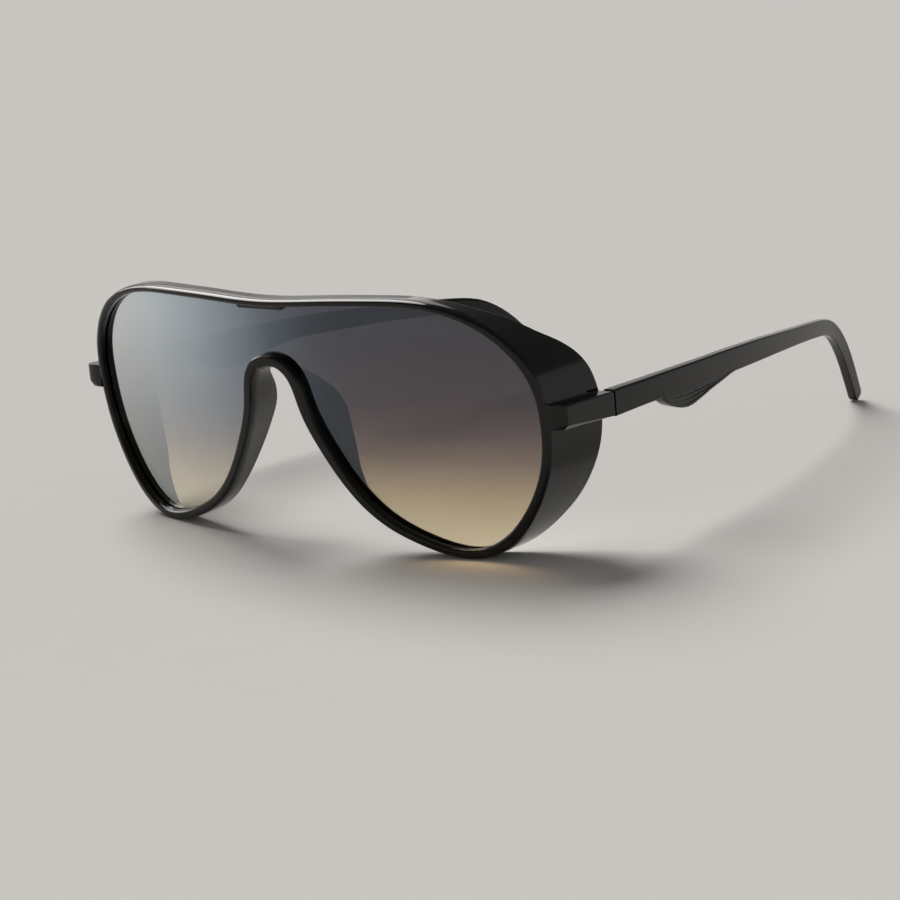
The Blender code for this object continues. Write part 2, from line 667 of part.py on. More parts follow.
def front_leaf(name, side, collection, tools, material):
    """A plate in the lug's seat, with an upper and a lower eye."""
    mesh_data = bmesh.new()
    inner = LUG_FACE
    outer = LUG_FACE + LEAF_THICKNESS
    front = HINGE_Y - BARREL_RADIUS - FRONT_LEAF_LENGTH
    rear = HINGE_Y - BARREL_RADIUS - HINGE_GAP
    half = LEAF_HEIGHT / 2
    add_box(mesh_data, (side * inner, front, HINGE_HEIGHT - half),
            (side * outer, rear, HINGE_HEIGHT + half))
    piece = place(name, mesh_data, collection, material)
    root_low = (inner - HINGE_X, rear - HINGE_Y - HINGE_GAP)
    root_high = (outer - HINGE_X, 0)
    floors = (-half, half - KNUCKLE_HEIGHT)
    apply_tool(piece, knuckle_form(name + "_eyes", side, tools, root_low, root_high, floors), "UNION")
    apply_tool(piece, leaf_bore_cutter(name + "_bore", side, tools), "DIFFERENCE")
    places = [spot for spot in front_screw_places() if spot[0] == side]
    apply_tool(piece, leaf_hole_cutter(name + "_holes", tools, places, inner - OVERRUN,
                                       LEAF_THICKNESS + OVERRUN), "DIFFERENCE")
    return piece


def temple_leaf(name, side, collection, tools, material):
    """A plate in the temple's seat, with the middle eye."""
    mesh_data = bmesh.new()
    inner = TEMPLE_INNER
    outer = TEMPLE_INNER + LEAF_THICKNESS
    front = TEMPLE_FRONT + CLEARANCE
    rear = TEMPLE_FRONT + TEMPLE_LEAF_LENGTH
    half = LEAF_HEIGHT / 2
    add_box(mesh_data, (side * inner, front, HINGE_HEIGHT - half),
            (side * outer, rear, HINGE_HEIGHT + half))
    piece = place(name, mesh_data, collection, material)
    root_low = (inner - HINGE_X, front - HINGE_Y)
    root_high = (outer - HINGE_X - HINGE_GAP, front - HINGE_Y + KNUCKLE_ROOT)
    floors = (-KNUCKLE_HEIGHT / 2,)
    hinge_at_origin(piece, side)
    apply_tool(piece, knuckle_form(name + "_eye", side, tools, root_low, root_high, floors), "UNION")
    apply_tool(piece, leaf_bore_cutter(name + "_bore", side, tools), "DIFFERENCE")
    apply_tool(piece, leaf_hole_cutter(name + "_holes", tools, temple_screw_places(side),
                                       inner - OVERRUN, LEAF_THICKNESS + OVERRUN), "DIFFERENCE")
    return piece


def screw(name, tip, towards_head, sizes, collection, tools, material):
    """A slotted pan-head screw from its tip up, turned from half of its outline."""
    length, radius, head_radius, head_height = sizes
    top = length + head_height
    profile = ((0, top), (head_radius - SLOT_DEPTH / 2, top), (head_radius, top - SLOT_DEPTH),
               (head_radius, length), (radius, length), (radius, 0), (0, 0))
    mesh_data = bmesh.new()
    edge = [mesh_data.verts.new((r, 0, z)) for r, z in profile]
    for pair in zip(edge, edge[1:]):
        mesh_data.edges.new(pair)
    mesh = bpy.data.meshes.new(name)
    mesh_data.to_mesh(mesh)
    mesh_data.free()
    mesh.materials.append(material)
    piece = bpy.data.objects.new(name, mesh)
    collection.objects.link(piece)
    piece.location = tip
    piece.rotation_euler = Vector((0, 0, 1)).rotation_difference(Vector(towards_head)).to_euler()
    turned = piece.modifiers.new("turned", "SCREW")
    turned.steps = ROUND_STEPS
    turned.render_steps = ROUND_STEPS
    turned.use_merge_vertices = True
    turned.merge_threshold = MERGE_DISTANCE
    slot = bmesh.new()
    reach = head_radius + OVERRUN
    add_box(slot, (-reach, -SLOT_WIDTH / 2, top - SLOT_DEPTH), (reach, SLOT_WIDTH / 2, top + OVERRUN))
    cutter = place(name + "_slot", slot, tools)
    cutter.location = piece.location
    cutter.rotation_euler = piece.rotation_euler
    apply_tool(piece, cutter, "DIFFERENCE")
    return piece


def hinge_screw(name, side, collection, tools, material):
    """Down through the three eyes, with its head on the upper one."""
    tip = (side * HINGE_X, HINGE_Y, HINGE_HEIGHT - LEAF_HEIGHT / 2)
    sizes = (LEAF_HEIGHT + HINGE_GAP, HINGE_SCREW_RADIUS, HINGE_HEAD_RADIUS, HINGE_HEAD_HEIGHT)
    return screw(name, tip, (0, 0, 1), sizes, collection, tools, material)


def leaf_screws(name, spots, face, collection, tools, material):
    """Outwards through a leaf into the plastic, with the heads on the inner side."""
    sizes = (LEAF_SCREW_LENGTH, LEAF_SCREW_RADIUS, LEAF_HEAD_RADIUS, LEAF_HEAD_HEIGHT)
    for number, (side, y) in enumerate(spots, 1):
        tip = (side * (face + LEAF_SCREW_LENGTH - HINGE_GAP), y, HINGE_HEIGHT)
        screw(f"{name}_{number}", tip, (-side, 0, 0), sizes, collection, tools, material)


def centre_on_floor(collection):
    """Puts the origin on the floor, midway between the front of the rim and the temple tips."""
    bpy.context.view_layer.update()
    graph = bpy.context.evaluated_depsgraph_get()
    reach = []
    for piece in collection.objects:
        shape = piece.evaluated_get(graph)
        reach += [(piece.matrix_world @ vert.co).y for vert in shape.data.vertices]
    return -(min(reach) + max(reach)) / 2


def build():
    for old in list(bpy.data.objects):
        bpy.data.objects.remove(old)
    pieces = new_collection("sunglasses")
    tools = new_collection("cutters")
    plastic = black_plastic()
    steel = hinge_steel()
    front_frame(pieces, tools, plastic)
    shield_lens(pieces, tools, lens_tint())
    for label, side in SIDES.items():
        temple("temple_" + label, side, pieces, tools, plastic)
        front_leaf("hinge_front_leaf_" + label, side, pieces, tools, steel)
        temple_leaf("hinge_temple_leaf_" + label, side, pieces, tools, steel)
        hinge_screw("hinge_screw_" + label, side, pieces, tools, steel)
        spots = [spot for spot in front_screw_places() if spot[0] == side]
        leaf_screws("front_leaf_screw_" + label, spots, LUG_FACE, pieces, tools, steel)
        spots = temple_screw_places(side)
        leaf_screws("temple_leaf_screw_" + label, spots, TEMPLE_INNER, pieces, tools, steel)
    base = bpy.data.objects.new("resting_frame", None)
    bpy.context.scene.collection.objects.link(base)
    for piece in list(pieces.objects) + list(tools.objects):
        piece.parent = base
    base.location.y = centre_on_floor(pieces)


build()
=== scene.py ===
"""Shield sunglasses on a pale table: each piece's finished look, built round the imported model."""

import math

import bmesh
import bpy
import numpy as np
from mathutils import Matrix, Vector


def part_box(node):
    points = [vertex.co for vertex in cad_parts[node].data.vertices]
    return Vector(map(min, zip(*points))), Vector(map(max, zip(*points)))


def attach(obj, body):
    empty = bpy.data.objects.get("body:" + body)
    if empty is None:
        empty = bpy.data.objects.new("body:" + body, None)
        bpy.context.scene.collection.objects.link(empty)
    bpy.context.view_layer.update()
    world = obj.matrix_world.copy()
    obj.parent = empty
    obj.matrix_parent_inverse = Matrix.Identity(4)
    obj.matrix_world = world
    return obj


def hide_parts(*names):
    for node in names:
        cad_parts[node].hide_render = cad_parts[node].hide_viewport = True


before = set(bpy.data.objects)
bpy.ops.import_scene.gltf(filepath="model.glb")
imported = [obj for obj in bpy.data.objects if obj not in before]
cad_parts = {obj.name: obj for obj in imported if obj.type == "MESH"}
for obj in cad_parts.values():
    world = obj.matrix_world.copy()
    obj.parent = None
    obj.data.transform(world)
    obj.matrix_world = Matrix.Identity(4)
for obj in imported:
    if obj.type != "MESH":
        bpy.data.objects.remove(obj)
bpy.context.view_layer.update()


# The front is one moulding of black nylon. A rounded rim runs right round the lens, and the same
# wall grows backwards into a shield beside each eye and a pad on each side of the nose.
# It leaves the mould glossy, is tumbled smooth, and the lens snaps into the groove inside the rim.
HALF_WIDTH = 0.0725
HINGE_HEIGHT = 0.0322
CLEARANCE = 0.0003
OVERRUN = 0.002
WELD = 0.000001
SLIVER = 0.000002
CRISP_TURN = 32
FACE_WEIGHT = 60
DRILL_SIDES = 32
CORNER_SHARE = 0.45
FOOT_FLAT = 0.00012
SIGHT_HALF = 0.0658
SIGHT_HEIGHT = 0.0547
WRAP_RADIUS = 0.2065
LEAN_SLOPE = math.tan(math.radians(6))
LENS_THICKNESS = 0.0018
GROOVE_DEPTH = 0.0012
GROOVE_BACK = LENS_THICKNESS + CLEARANCE
SIGHT_OUTLINE = (
    (0.0, 0.982), (0.258, 0.994), (0.456, 1.0), (0.653, 0.989), (0.805, 0.9305), (0.916, 0.828),
    (0.982, 0.6965), (1.0, 0.523), (0.98, 0.349), (0.915, 0.179), (0.824, 0.0567), (0.722, 0.002),
    (0.664, 0.0), (0.532, 0.04), (0.395, 0.1225), (0.296, 0.236), (0.202, 0.413), (0.147, 0.567),
    (0.1155, 0.6965), (0.068, 0.757), (0.034, 0.773), (0.0, 0.777),
)
SIGHT_POINTS = 4000
RIM_WIDTH = 0.0021
RIM_AT_FOOT = 1.1
RIM_DEPTH = 0.0033
FRONT_LIP = 0.0021
REAR_LIP = 0.0007
BEAD_BACK = GROOVE_BACK + REAR_LIP
BEAD_ROUND = 0.00088
CROWN_DEPTH = 0.0017
CROWN_END = 0.3
EDGE_ROUND = 0.00045
LIP_ROUND = 0.0002
FRONT_WALL = 0.0016
SHIELD_DEPTH = 0.0164
SHIELD_FLARE = 0.00075
PAD_DEPTH = 0.0096
PAD_FLARE = 0.0026
SIGHT_BOTTOM = RIM_WIDTH * RIM_AT_FOOT - FOOT_FLAT
RIM_WIDTHS = (
    (0.0, 0.87), (0.25, 0.87), (0.35, 0.95), (0.5, 0.98), (0.6, RIM_AT_FOOT),
    (0.68, RIM_AT_FOOT), (0.82, 1.27), (0.9, 1.4), (1.0, 1.38),
)
WALLS = ((0.0, 1.0), (0.76, 1.0), (0.88, 1.3), (0.94, 1.3), (0.98, 1.0), (1.0, 1.0))
SHIELDS = (
    (0.0, 0.0), (0.237, 0.0), (0.264, 0.048), (0.276, 0.077), (0.288, 0.143), (0.299, 0.226),
    (0.311, 0.309), (0.323, 0.381), (0.334, 0.472), (0.345, 0.612), (0.357, 0.755),
    (0.368, 0.856), (0.379, 0.919), (0.389, 0.953), (0.412, 0.982), (0.424, 1.0),
    (0.46, 0.963), (0.5, 0.866), (0.535, 0.738), (0.56, 0.567), (0.587, 0.396),
    (0.61, 0.246), (0.635, 0.107), (0.66, 0.0), (1.0, 0.0),
)
PADS = (
    (0.0, 0.0), (0.78, 0.0), (0.822, 0.29), (0.84, 0.5), (0.866, 0.76), (0.9, 1.0),
    (0.92, 0.87), (0.936, 0.57), (0.952, 0.23), (0.968, 0.04), (0.976, 0.0), (1.0, 0.0),
)
FRONT_STATIONS = 230
TURN_WEIGHT = 0.009
TAB_WIDTH = 0.0136
TAB_DROP = 0.0006
TAB_ROOT = 0.0005
TAB_ENDS = ((0, 0.7), (1, 0.2), (3, 0))
BLOCK_FRONT = 0.009
BLOCK_REAR = 0.0275
BLOCK_ROOT = HALF_WIDTH - 0.0053
BLOCK_NOSE = 0.0008
BLOCK_CORNER = 0.0016
BLOCK_CORNER_STEPS = 12
BLOCK_STEP = 0.0028
BLOCK_STEPS = 5
BLOCK_HEIGHT = 0.0054
BLOCK_RISE = 0.0007
BLOCK_CHAMFER = 0.0011
BLOCK_EDGE = 0.0004
BLOCK_REAR_ROUND = 0.0009
BLOCK_REAR_STEPS = 9
LUG_FACE = HALF_WIDTH - 0.00645
TEMPLE_THICKNESS = 0.0034
TEMPLE_INNER = HALF_WIDTH - TEMPLE_THICKNESS
LUG_THICKNESS = 0.0016
LUG_FRONT = 0.0158
LUG_HEIGHT = 0.0064
SEAM_GAP = 0.0003
HINGE_X = HALF_WIDTH - 0.0066
HINGE_Y = BLOCK_REAR + SEAM_GAP / 2
BARREL_RADIUS = 0.00125
LEAF_THICKNESS = 0.0008
LEAF_HEIGHT = 0.0034
HINGE_GAP = 0.00015
EYE_HEIGHT = (LEAF_HEIGHT - 2 * HINGE_GAP) / 3
FRONT_LEAF_LENGTH = 0.0078
LEAF_SCREW_MARGIN = 0.0016
LEAF_HOLE_RADIUS = 0.00065
LEAF_HOLE_DEPTH = 0.0025
SIDES = {"left": 1, "right": -1}
pin_low, pin_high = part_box("hinge_screw_left")
BUILD_SHIFT = (pin_low.y + pin_high.y) / 2 - HINGE_Y


def curve_between(stops, values, slopes, at):
    """Cubic curve through the values with the given slopes, at the places asked for."""
    k = np.clip(np.searchsorted(stops, at, side="right") - 1, 0, len(stops) - 2)
    gap = stops[k + 1] - stops[k]
    t = (at - stops[k]) / gap
    if values.ndim > 1:
        gap = gap[:, None]
        t = t[:, None]
    rise = t * t * (3 - 2 * t)
    return (values[k] * (1 - rise) + values[k + 1] * rise
            + slopes[k] * gap * t * (1 - t) ** 2 - slopes[k + 1] * gap * t * t * (1 - t))


def french_curve(points, first_slope, last_slope, count):
    """One evenly bending line through drawn points, with its end directions given."""
    points = np.array(points)
    stops = np.concatenate(([0], np.cumsum(np.linalg.norm(np.diff(points, axis=0), axis=1))))
    gaps = np.diff(stops)
    steps = np.diff(points, axis=0) / gaps[:, None]
    weights = np.eye(len(stops))
    wanted = np.zeros_like(points)
    wanted[0] = first_slope
    wanted[-1] = last_slope
    for k in range(1, len(stops) - 1):
        weights[k, k - 1:k + 2] = gaps[k], 2 * (gaps[k - 1] + gaps[k]), gaps[k - 1]
        wanted[k] = 3 * (gaps[k] * steps[k - 1] + gaps[k - 1] * steps[k])
    slopes = np.linalg.solve(weights, wanted)
    return curve_between(stops, points, slopes, np.linspace(0, stops[-1], count))


def from_table(table, at):
    """Smooth value from a table of places and shares, without overshooting any of them."""
    stops, values = np.array(table).T
    steps = np.diff(values) / np.diff(stops)
    slopes = np.zeros(len(stops))
    for k in range(1, len(stops) - 1):
        if steps[k - 1] * steps[k] > 0:
            slopes[k] = 2 / (1 / steps[k - 1] + 1 / steps[k])
    return float(curve_between(stops, values, slopes, np.array([at]))[0])


def lens_front(x, z):
    """How far back the lens's front lies: a cylinder round the face that leans on the cheeks."""
    wrap = WRAP_RADIUS - math.sqrt(WRAP_RADIUS ** 2 - x ** 2)
    return wrap - LEAN_SLOPE * (z - HINGE_HEIGHT) + BUILD_SHIFT


def sight_stations(count):
    """Places round half of the sight: x, z, the direction away from the lens, and the share."""
    corners = [(x * SIGHT_HALF, SIGHT_BOTTOM + z * SIGHT_HEIGHT) for x, z in SIGHT_OUTLINE]
    line = french_curve(corners, (1, 0), (-1, 0), SIGHT_POINTS)
    steps = np.diff(line, axis=0)
    lengths = np.linalg.norm(steps, axis=1)
    headings = np.unwrap(np.arctan2(steps[:, 1], steps[:, 0]))
    turning = np.abs(np.diff(headings, prepend=0))
    along = np.concatenate(([0], np.cumsum(lengths)))
    measure = np.concatenate(([0], np.cumsum(lengths + TURN_WEIGHT * turning)))
    middles = (along[1:] + along[:-1]) / 2
    stations = []
    for place in np.interp(np.linspace(0, measure[-1], count), measure, along):
        heading = np.interp(place, middles, headings)
        stations.append((np.interp(place, along, line[:, 0]), np.interp(place, along, line[:, 1]),
                         (-math.sin(heading), math.cos(heading)), place / along[-1]))
    stations[0] = (0, line[0, 1], (0, 1), 0)
    stations[-1] = (0, line[-1, 1], (0, -1), 1)
    return stations


def rounded_ring(corners):
    """Closed outline from corners of (across, back, radius, arc steps, points on the next side).

    A pair of radii makes an elliptical corner: the first along the side before, then after.
    """
    spots = [Vector(corner[:2]) for corner in corners]
    arcs = []
    for k, (_, _, radius, steps, _) in enumerate(corners):
        before = spots[k - 1] - spots[k]
        after = spots[(k + 1) % len(spots)] - spots[k]
        reach = radius
        if isinstance(radius, (int, float)):
            reach = (min(radius, CORNER_SHARE * before.length, CORNER_SHARE * after.length),) * 2
        start = spots[k] + before.normalized() * reach[0]
        end = spots[k] + after.normalized() * reach[1]
        pull = 2 * math.sin(before.angle(after) / 2)
        arc = []
        for step in range(steps + 1):
            t = step / steps if steps else 0
            near, middle, far = (1 - t) ** 2, pull * t * (1 - t), t ** 2
            arc.append((start * near + spots[k] * middle + end * far) / (near + middle + far))
        arcs.append(arc if steps else [spots[k]])
    ring = []
    for k, arc in enumerate(arcs):
        ring += arc
        onward = arcs[(k + 1) % len(arcs)][0]
        extra = corners[k][4]
        for step in range(1, extra + 1):
            t = (1 - math.cos(math.pi * step / (extra + 1))) / 2
            ring.append(arc[-1].lerp(onward, t))
    return ring


def rim_ring(share):
    """Section of the front's wall: how far out from the sight, and how far behind the lens."""
    width = RIM_WIDTH * from_table(RIM_WIDTHS, share)
    shield = from_table(SHIELDS, share)
    pad = from_table(PADS, share)
    depth = RIM_DEPTH + (SHIELD_DEPTH - RIM_DEPTH) * shield + (PAD_DEPTH - RIM_DEPTH) * pad
    flare = SHIELD_FLARE * shield - PAD_FLARE * pad
    root = width - FRONT_WALL * from_table(WALLS, share)
    flattening = min(shield / CROWN_END, 1)
    crown = BEAD_ROUND + CROWN_DEPTH * (1 - flattening ** 2 * (3 - 2 * flattening))
    return rounded_ring((
        (0, -CLEARANCE, 0, 0, 0),
        (0, -FRONT_LIP, BEAD_ROUND, 7, 1), (width, -FRONT_LIP, (BEAD_ROUND, crown), 11, 8),
        (width + flare, depth, EDGE_ROUND, 5, 1), (root + flare, depth, EDGE_ROUND, 5, 8),
        (root, BEAD_BACK, LIP_ROUND, 3, 0), (0, BEAD_BACK, LIP_ROUND, 3, 0),
        (0, GROOVE_BACK, 0, 0, 0), (GROOVE_DEPTH, GROOVE_BACK, 0, 0, 0),
        (GROOVE_DEPTH, -CLEARANCE, 0, 0, 0)))


def loft(mesh_data, rings, closed=False):
    """Faces between rings of equally many points, joined round or with flat ends."""
    loops = [[mesh_data.verts.new(point) for point in ring] for ring in rings]
    pairs = list(zip(loops, loops[1:] + loops[:1] if closed else loops[1:]))
    for one, other in pairs:
        for k in range(len(one)):
            onward = (k + 1) % len(one)
            mesh_data.faces.new((one[k], one[onward], other[onward], other[k]))
    if not closed:
        mesh_data.faces.new(loops[0])
        mesh_data.faces.new(loops[-1])


def make_piece(name, mesh_data, material=None):
    """A new piece from its mesh, with its faces outwards; without a material it is only a tool."""
    bmesh.ops.remove_doubles(mesh_data, verts=mesh_data.verts, dist=WELD)
    bmesh.ops.recalc_face_normals(mesh_data, faces=mesh_data.faces)
    mesh = bpy.data.meshes.new(name)
    mesh_data.to_mesh(mesh)
    mesh_data.free()
    piece = bpy.data.objects.new(name, mesh)
    bpy.context.scene.collection.objects.link(piece)
    if material:
        mesh.materials.append(material)
    return piece


def cut_and_join(piece, work):
    """Joins or cuts with each tool in turn, cleans slivers off and throws the tools away."""
    for operation, tool in work:
        step = piece.modifiers.new(tool.name, "BOOLEAN")
        step.operation = operation
        step.object = tool
        step.solver = "EXACT"
    graph = bpy.context.evaluated_depsgraph_get()
    mesh = bpy.data.meshes.new_from_object(piece.evaluated_get(graph))
    cleaned = bmesh.new()
    cleaned.from_mesh(mesh)
    bmesh.ops.remove_doubles(cleaned, verts=cleaned.verts, dist=SLIVER)
    bmesh.ops.dissolve_degenerate(cleaned, dist=SLIVER, edges=cleaned.edges)
    cleaned.to_mesh(mesh)
    cleaned.free()
    piece.modifiers.clear()
    old = piece.data
    piece.data = mesh
    bpy.data.meshes.remove(old)
    mesh.name = piece.name
    for _, tool in work:
        bpy.data.objects.remove(tool)


def polish_edges(piece, angle):
    """Smooth shading that keeps flat faces flat, and crisp edges where the faces turn sharply."""
    piece.data.shade_smooth()
    piece.data.set_sharp_from_angle(angle=math.radians(angle))
    step = piece.modifiers.new("flat_faces", "WEIGHTED_NORMAL")
    step.keep_sharp = True
    step.weight = FACE_WEIGHT


def add_box(mesh_data, low, high):
    """A cutter's block between two corners, given in any order."""
    low = Vector(low)
    high = Vector(high)
    size = high - low
    scale = Matrix.Diagonal((abs(size.x), abs(size.y), abs(size.z), 1))
    bmesh.ops.create_cube(mesh_data, size=1, matrix=Matrix.Translation((low + high) / 2) @ scale)


def add_drill(mesh_data, start, end, radius):
    """A drill's round path from start to end."""
    start = Vector(start)
    end = Vector(end)
    along = end - start
    turn = Vector((0, 0, 1)).rotation_difference(along).to_matrix().to_4x4()
    bmesh.ops.create_cone(
        mesh_data, cap_ends=True, segments=DRILL_SIDES, radius1=radius, radius2=radius,
        depth=along.length, matrix=Matrix.Translation((start + end) / 2) @ turn)


def moulded_block(side):
    """The end block beside a shield: a soft front corner, a bevel below and a flat outer face."""
    stations = []
    for step in range(BLOCK_CORNER_STEPS + 1):
        turn = math.pi / 2 * step / BLOCK_CORNER_STEPS
        outer = BLOCK_ROOT + BLOCK_NOSE + (HALF_WIDTH - BLOCK_ROOT - BLOCK_NOSE) * math.sin(turn)
        stations.append((BLOCK_FRONT + BLOCK_CORNER * (1 - math.cos(turn)), outer))
    corner_end = stations[-1][0]
    for step in range(1, BLOCK_STEPS + 1):
        stations.append((corner_end + step * BLOCK_STEP, HALF_WIDTH))
    for step in range(1, BLOCK_REAR_STEPS + 1):
        turn = math.pi / 2 * step / BLOCK_REAR_STEPS
        y = BLOCK_REAR - BLOCK_REAR_ROUND * (1 - math.sin(turn))
        into_edge = min(max(y - BLOCK_REAR + BLOCK_EDGE, 0) / BLOCK_EDGE, 1)
        stations.append((y, HALF_WIDTH - BLOCK_EDGE * (1 - math.sqrt(1 - into_edge ** 2))))
    rings = []
    for y, outer in stations:
        share = (y - BLOCK_FRONT) / (BLOCK_REAR - BLOCK_FRONT)
        middle = HINGE_HEIGHT + BLOCK_RISE * (1 - share)
        low = middle - BLOCK_HEIGHT / 2
        high = middle + BLOCK_HEIGHT / 2
        into_end = max(y - BLOCK_REAR + BLOCK_REAR_ROUND, 0) / BLOCK_REAR_ROUND
        high -= BLOCK_REAR_ROUND * (1 - math.sqrt(1 - min(into_end, 1) ** 2))
        span = outer - BLOCK_ROOT
        bevel = min(BLOCK_CHAMFER * (1 - share), span / 2) + BLOCK_EDGE / 4
        ring = rounded_ring((
            (BLOCK_ROOT, low, 0, 0, 0), (outer - bevel, low, BLOCK_EDGE / 2, 3, 0),
            (outer, low + bevel, BLOCK_EDGE / 2, 3, 2), (outer, high, BLOCK_EDGE, 6, 1),
            (BLOCK_ROOT, high, 0, 0, 0)))
        rings.append([(side * point.x, y + BUILD_SHIFT, point.y) for point in ring])
    mesh_data = bmesh.new()
    loft(mesh_data, rings)
    return make_piece("block_tool", mesh_data)


def lip_tab():
    """The wider stretch of the front lip at the middle of the upper rim, over the lens's edge."""
    top = SIGHT_BOTTOM + SIGHT_OUTLINE[0][1] * SIGHT_HEIGHT
    soft = TAB_DROP / 3
    corners = ((top - TAB_DROP, -FRONT_LIP + BEAD_ROUND + soft),
               (top - TAB_DROP, -CLEARANCE), (top + TAB_ROOT, -CLEARANCE),
               (top + TAB_ROOT, -FRONT_LIP + BEAD_ROUND), (top - soft, -FRONT_LIP + BEAD_ROUND))
    ends = [(TAB_WIDTH / 2 - steps * soft, lift) for steps, lift in TAB_ENDS]
    rings = []
    for x, lift in [(-x, lift) for x, lift in ends] + ends[::-1]:
        rings.append([(x, lens_front(0, z) + depth, min(z + lift * TAB_DROP, top + TAB_ROOT))
                      for z, depth in corners])
    mesh_data = bmesh.new()
    loft(mesh_data, rings)
    return make_piece("tab_tool", mesh_data)


def ramp_of(nodes, links, source, stops):
    """A colour ramp node on a source, with the given stops of place and colour."""
    node = nodes.new("ShaderNodeValToRGB")
    ramp = node.color_ramp
    ramp.elements[0].position, ramp.elements[0].color = stops[0]
    ramp.elements[1].position, ramp.elements[1].color = stops[-1]
    for position, colour in stops[1:-1]:
        ramp.elements.new(position).color = colour
    links.new(source, node.inputs["Fac"])
    return node


def noise_of(nodes, links, source, scale, detail):
    """Unevenness of the given fineness over the places that the source gives."""
    noise = nodes.new("ShaderNodeTexNoise")
    noise.inputs["Scale"].default_value = scale
    noise.inputs["Detail"].default_value = detail
    links.new(source, noise.inputs["Vector"])
    return noise


def drawn_out(nodes, links, source, share):
    """Places drawn out from front to back, for marks that run along the piece."""
    stretch = nodes.new("ShaderNodeMapping")
    stretch.inputs["Scale"].default_value = (1, share, 1)
    links.new(source, stretch.inputs["Vector"])
    return stretch


def uneven_gloss(nodes, links, source, shader, low, high):
    """Roughness between two values, as the marks in the source say."""
    gloss = nodes.new("ShaderNodeMapRange")
    gloss.inputs["To Min"].default_value = low
    gloss.inputs["To Max"].default_value = high
    links.new(source, gloss.inputs["Value"])
    links.new(gloss.outputs["Result"], shader.inputs["Roughness"])


def glossy_black():
    """Polished black moulding: faint clouds in the black, a slight ripple and fine rub marks."""
    material = bpy.data.materials.new("polished_black_nylon")
    material.use_nodes = True
    nodes = material.node_tree.nodes
    links = material.node_tree.links
    shader = nodes["Principled BSDF"]
    shader.inputs["IOR"].default_value = 1.5
    shader.inputs["Specular IOR Level"].default_value = 0.3
    place = nodes.new("ShaderNodeTexCoord").outputs["Object"]
    cloud = noise_of(nodes, links, place, 90, 5)
    tone = ramp_of(nodes, links, cloud.outputs["Fac"], (
        (0.35, (0.0032, 0.0029, 0.0029, 1)), (0.7, (0.0055, 0.0049, 0.0047, 1))))
    links.new(tone.outputs["Color"], shader.inputs["Base Color"])
    stretch = drawn_out(nodes, links, place, 0.12)
    rubbed = noise_of(nodes, links, stretch.outputs["Vector"], 1400, 3)
    uneven_gloss(nodes, links, rubbed.outputs["Fac"], shader, 0.055, 0.105)
    ripple = noise_of(nodes, links, place, 160, 1)
    relief = nodes.new("ShaderNodeBump")
    relief.inputs["Strength"].default_value = 0.015
    relief.inputs["Distance"].default_value = 0.0002
    links.new(ripple.outputs["Fac"], relief.inputs["Height"])
    links.new(relief.outputs["Normal"], shader.inputs["Normal"])
    return material


black_nylon = glossy_black()
half_stations = sight_stations(FRONT_STATIONS)
front_rings = []
for x, z, away, share in half_stations:
    ring = []
    for point in rim_ring(share):
        up = max(z + point.x * away[1], 0)
        across = x + point.x * away[0]
        ring.append((across, lens_front(across, up) + point.y, up))
    front_rings.append(ring)
front_rings += [[(-x, y, z) for x, y, z in ring] for ring in reversed(front_rings[1:-1])]
mesh_data = bmesh.new()
loft(mesh_data, front_rings, closed=True)
front = make_piece("moulded_front", mesh_data, black_nylon)

lugs = bmesh.new()
pockets = bmesh.new()
slots = bmesh.new()
seats = bmesh.new()
drills = bmesh.new()
for side in SIDES.values():
    half = LUG_HEIGHT / 2
    add_box(lugs, (side * LUG_FACE, LUG_FRONT, HINGE_HEIGHT - half),
            (side * (LUG_FACE + LUG_THICKNESS), HINGE_Y, HINGE_HEIGHT + half))
    reach = BARREL_RADIUS + CLEARANCE
    for notch, outer, half in ((pockets, HINGE_X + reach, LUG_HEIGHT / 2 + CLEARANCE),
                               (slots, TEMPLE_INNER + CLEARANCE, EYE_HEIGHT / 2 + CLEARANCE)):
        add_box(notch, (side * (LUG_FACE - OVERRUN), HINGE_Y - reach, HINGE_HEIGHT - half),
                (side * outer, HINGE_Y + OVERRUN, HINGE_HEIGHT + half))
    half = LEAF_HEIGHT / 2 + CLEARANCE
    seat_front = HINGE_Y - BARREL_RADIUS - FRONT_LEAF_LENGTH
    add_box(seats, (side * (LUG_FACE - OVERRUN), seat_front - CLEARANCE, HINGE_HEIGHT - half),
            (side * (LUG_FACE + LEAF_THICKNESS + CLEARANCE), HINGE_Y, HINGE_HEIGHT + half))
    for y in (seat_front + LEAF_SCREW_MARGIN, HINGE_Y - BARREL_RADIUS - LEAF_SCREW_MARGIN):
        add_drill(drills, (side * (LUG_FACE - OVERRUN), y, HINGE_HEIGHT),
                  (side * (LUG_FACE + LEAF_HOLE_DEPTH), y, HINGE_HEIGHT), LEAF_HOLE_RADIUS)
tools = []
for label, form in (("lug_tool", lugs), ("pocket_tool", pockets), ("slot_tool", slots),
                    ("seat_tool", seats), ("drill_tool", drills)):
    bmesh.ops.translate(form, verts=form.verts, vec=(0, BUILD_SHIFT, 0))
    tools.append(make_piece(label, form))
cut_and_join(front, [("UNION", moulded_block(1)), ("UNION", moulded_block(-1)),
                     ("UNION", tools[0]), ("UNION", lip_tab())]
             + [("DIFFERENCE", tool) for tool in tools[1:]])
polish_edges(front, CRISP_TURN)
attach(front, "front")
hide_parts("front_frame")


# The lens is one sheet of polycarbonate, bent over both eyes and cut to the groove.
# It is dyed by dipping, dark smoke above and almost clear amber below, and then flashed with a
# thin bluish mirror that shows most where the sheet is seen at a slant.
LENS_SEAT = GROOVE_DEPTH - CLEARANCE
LENS_COLUMNS = 150
BLANK_REACH = (-0.01, 0.03)


def grey_stops(stops):
    """Stops of place and share as greys for a ramp."""
    return tuple((place, (share, share, share, 1)) for place, share in stops)


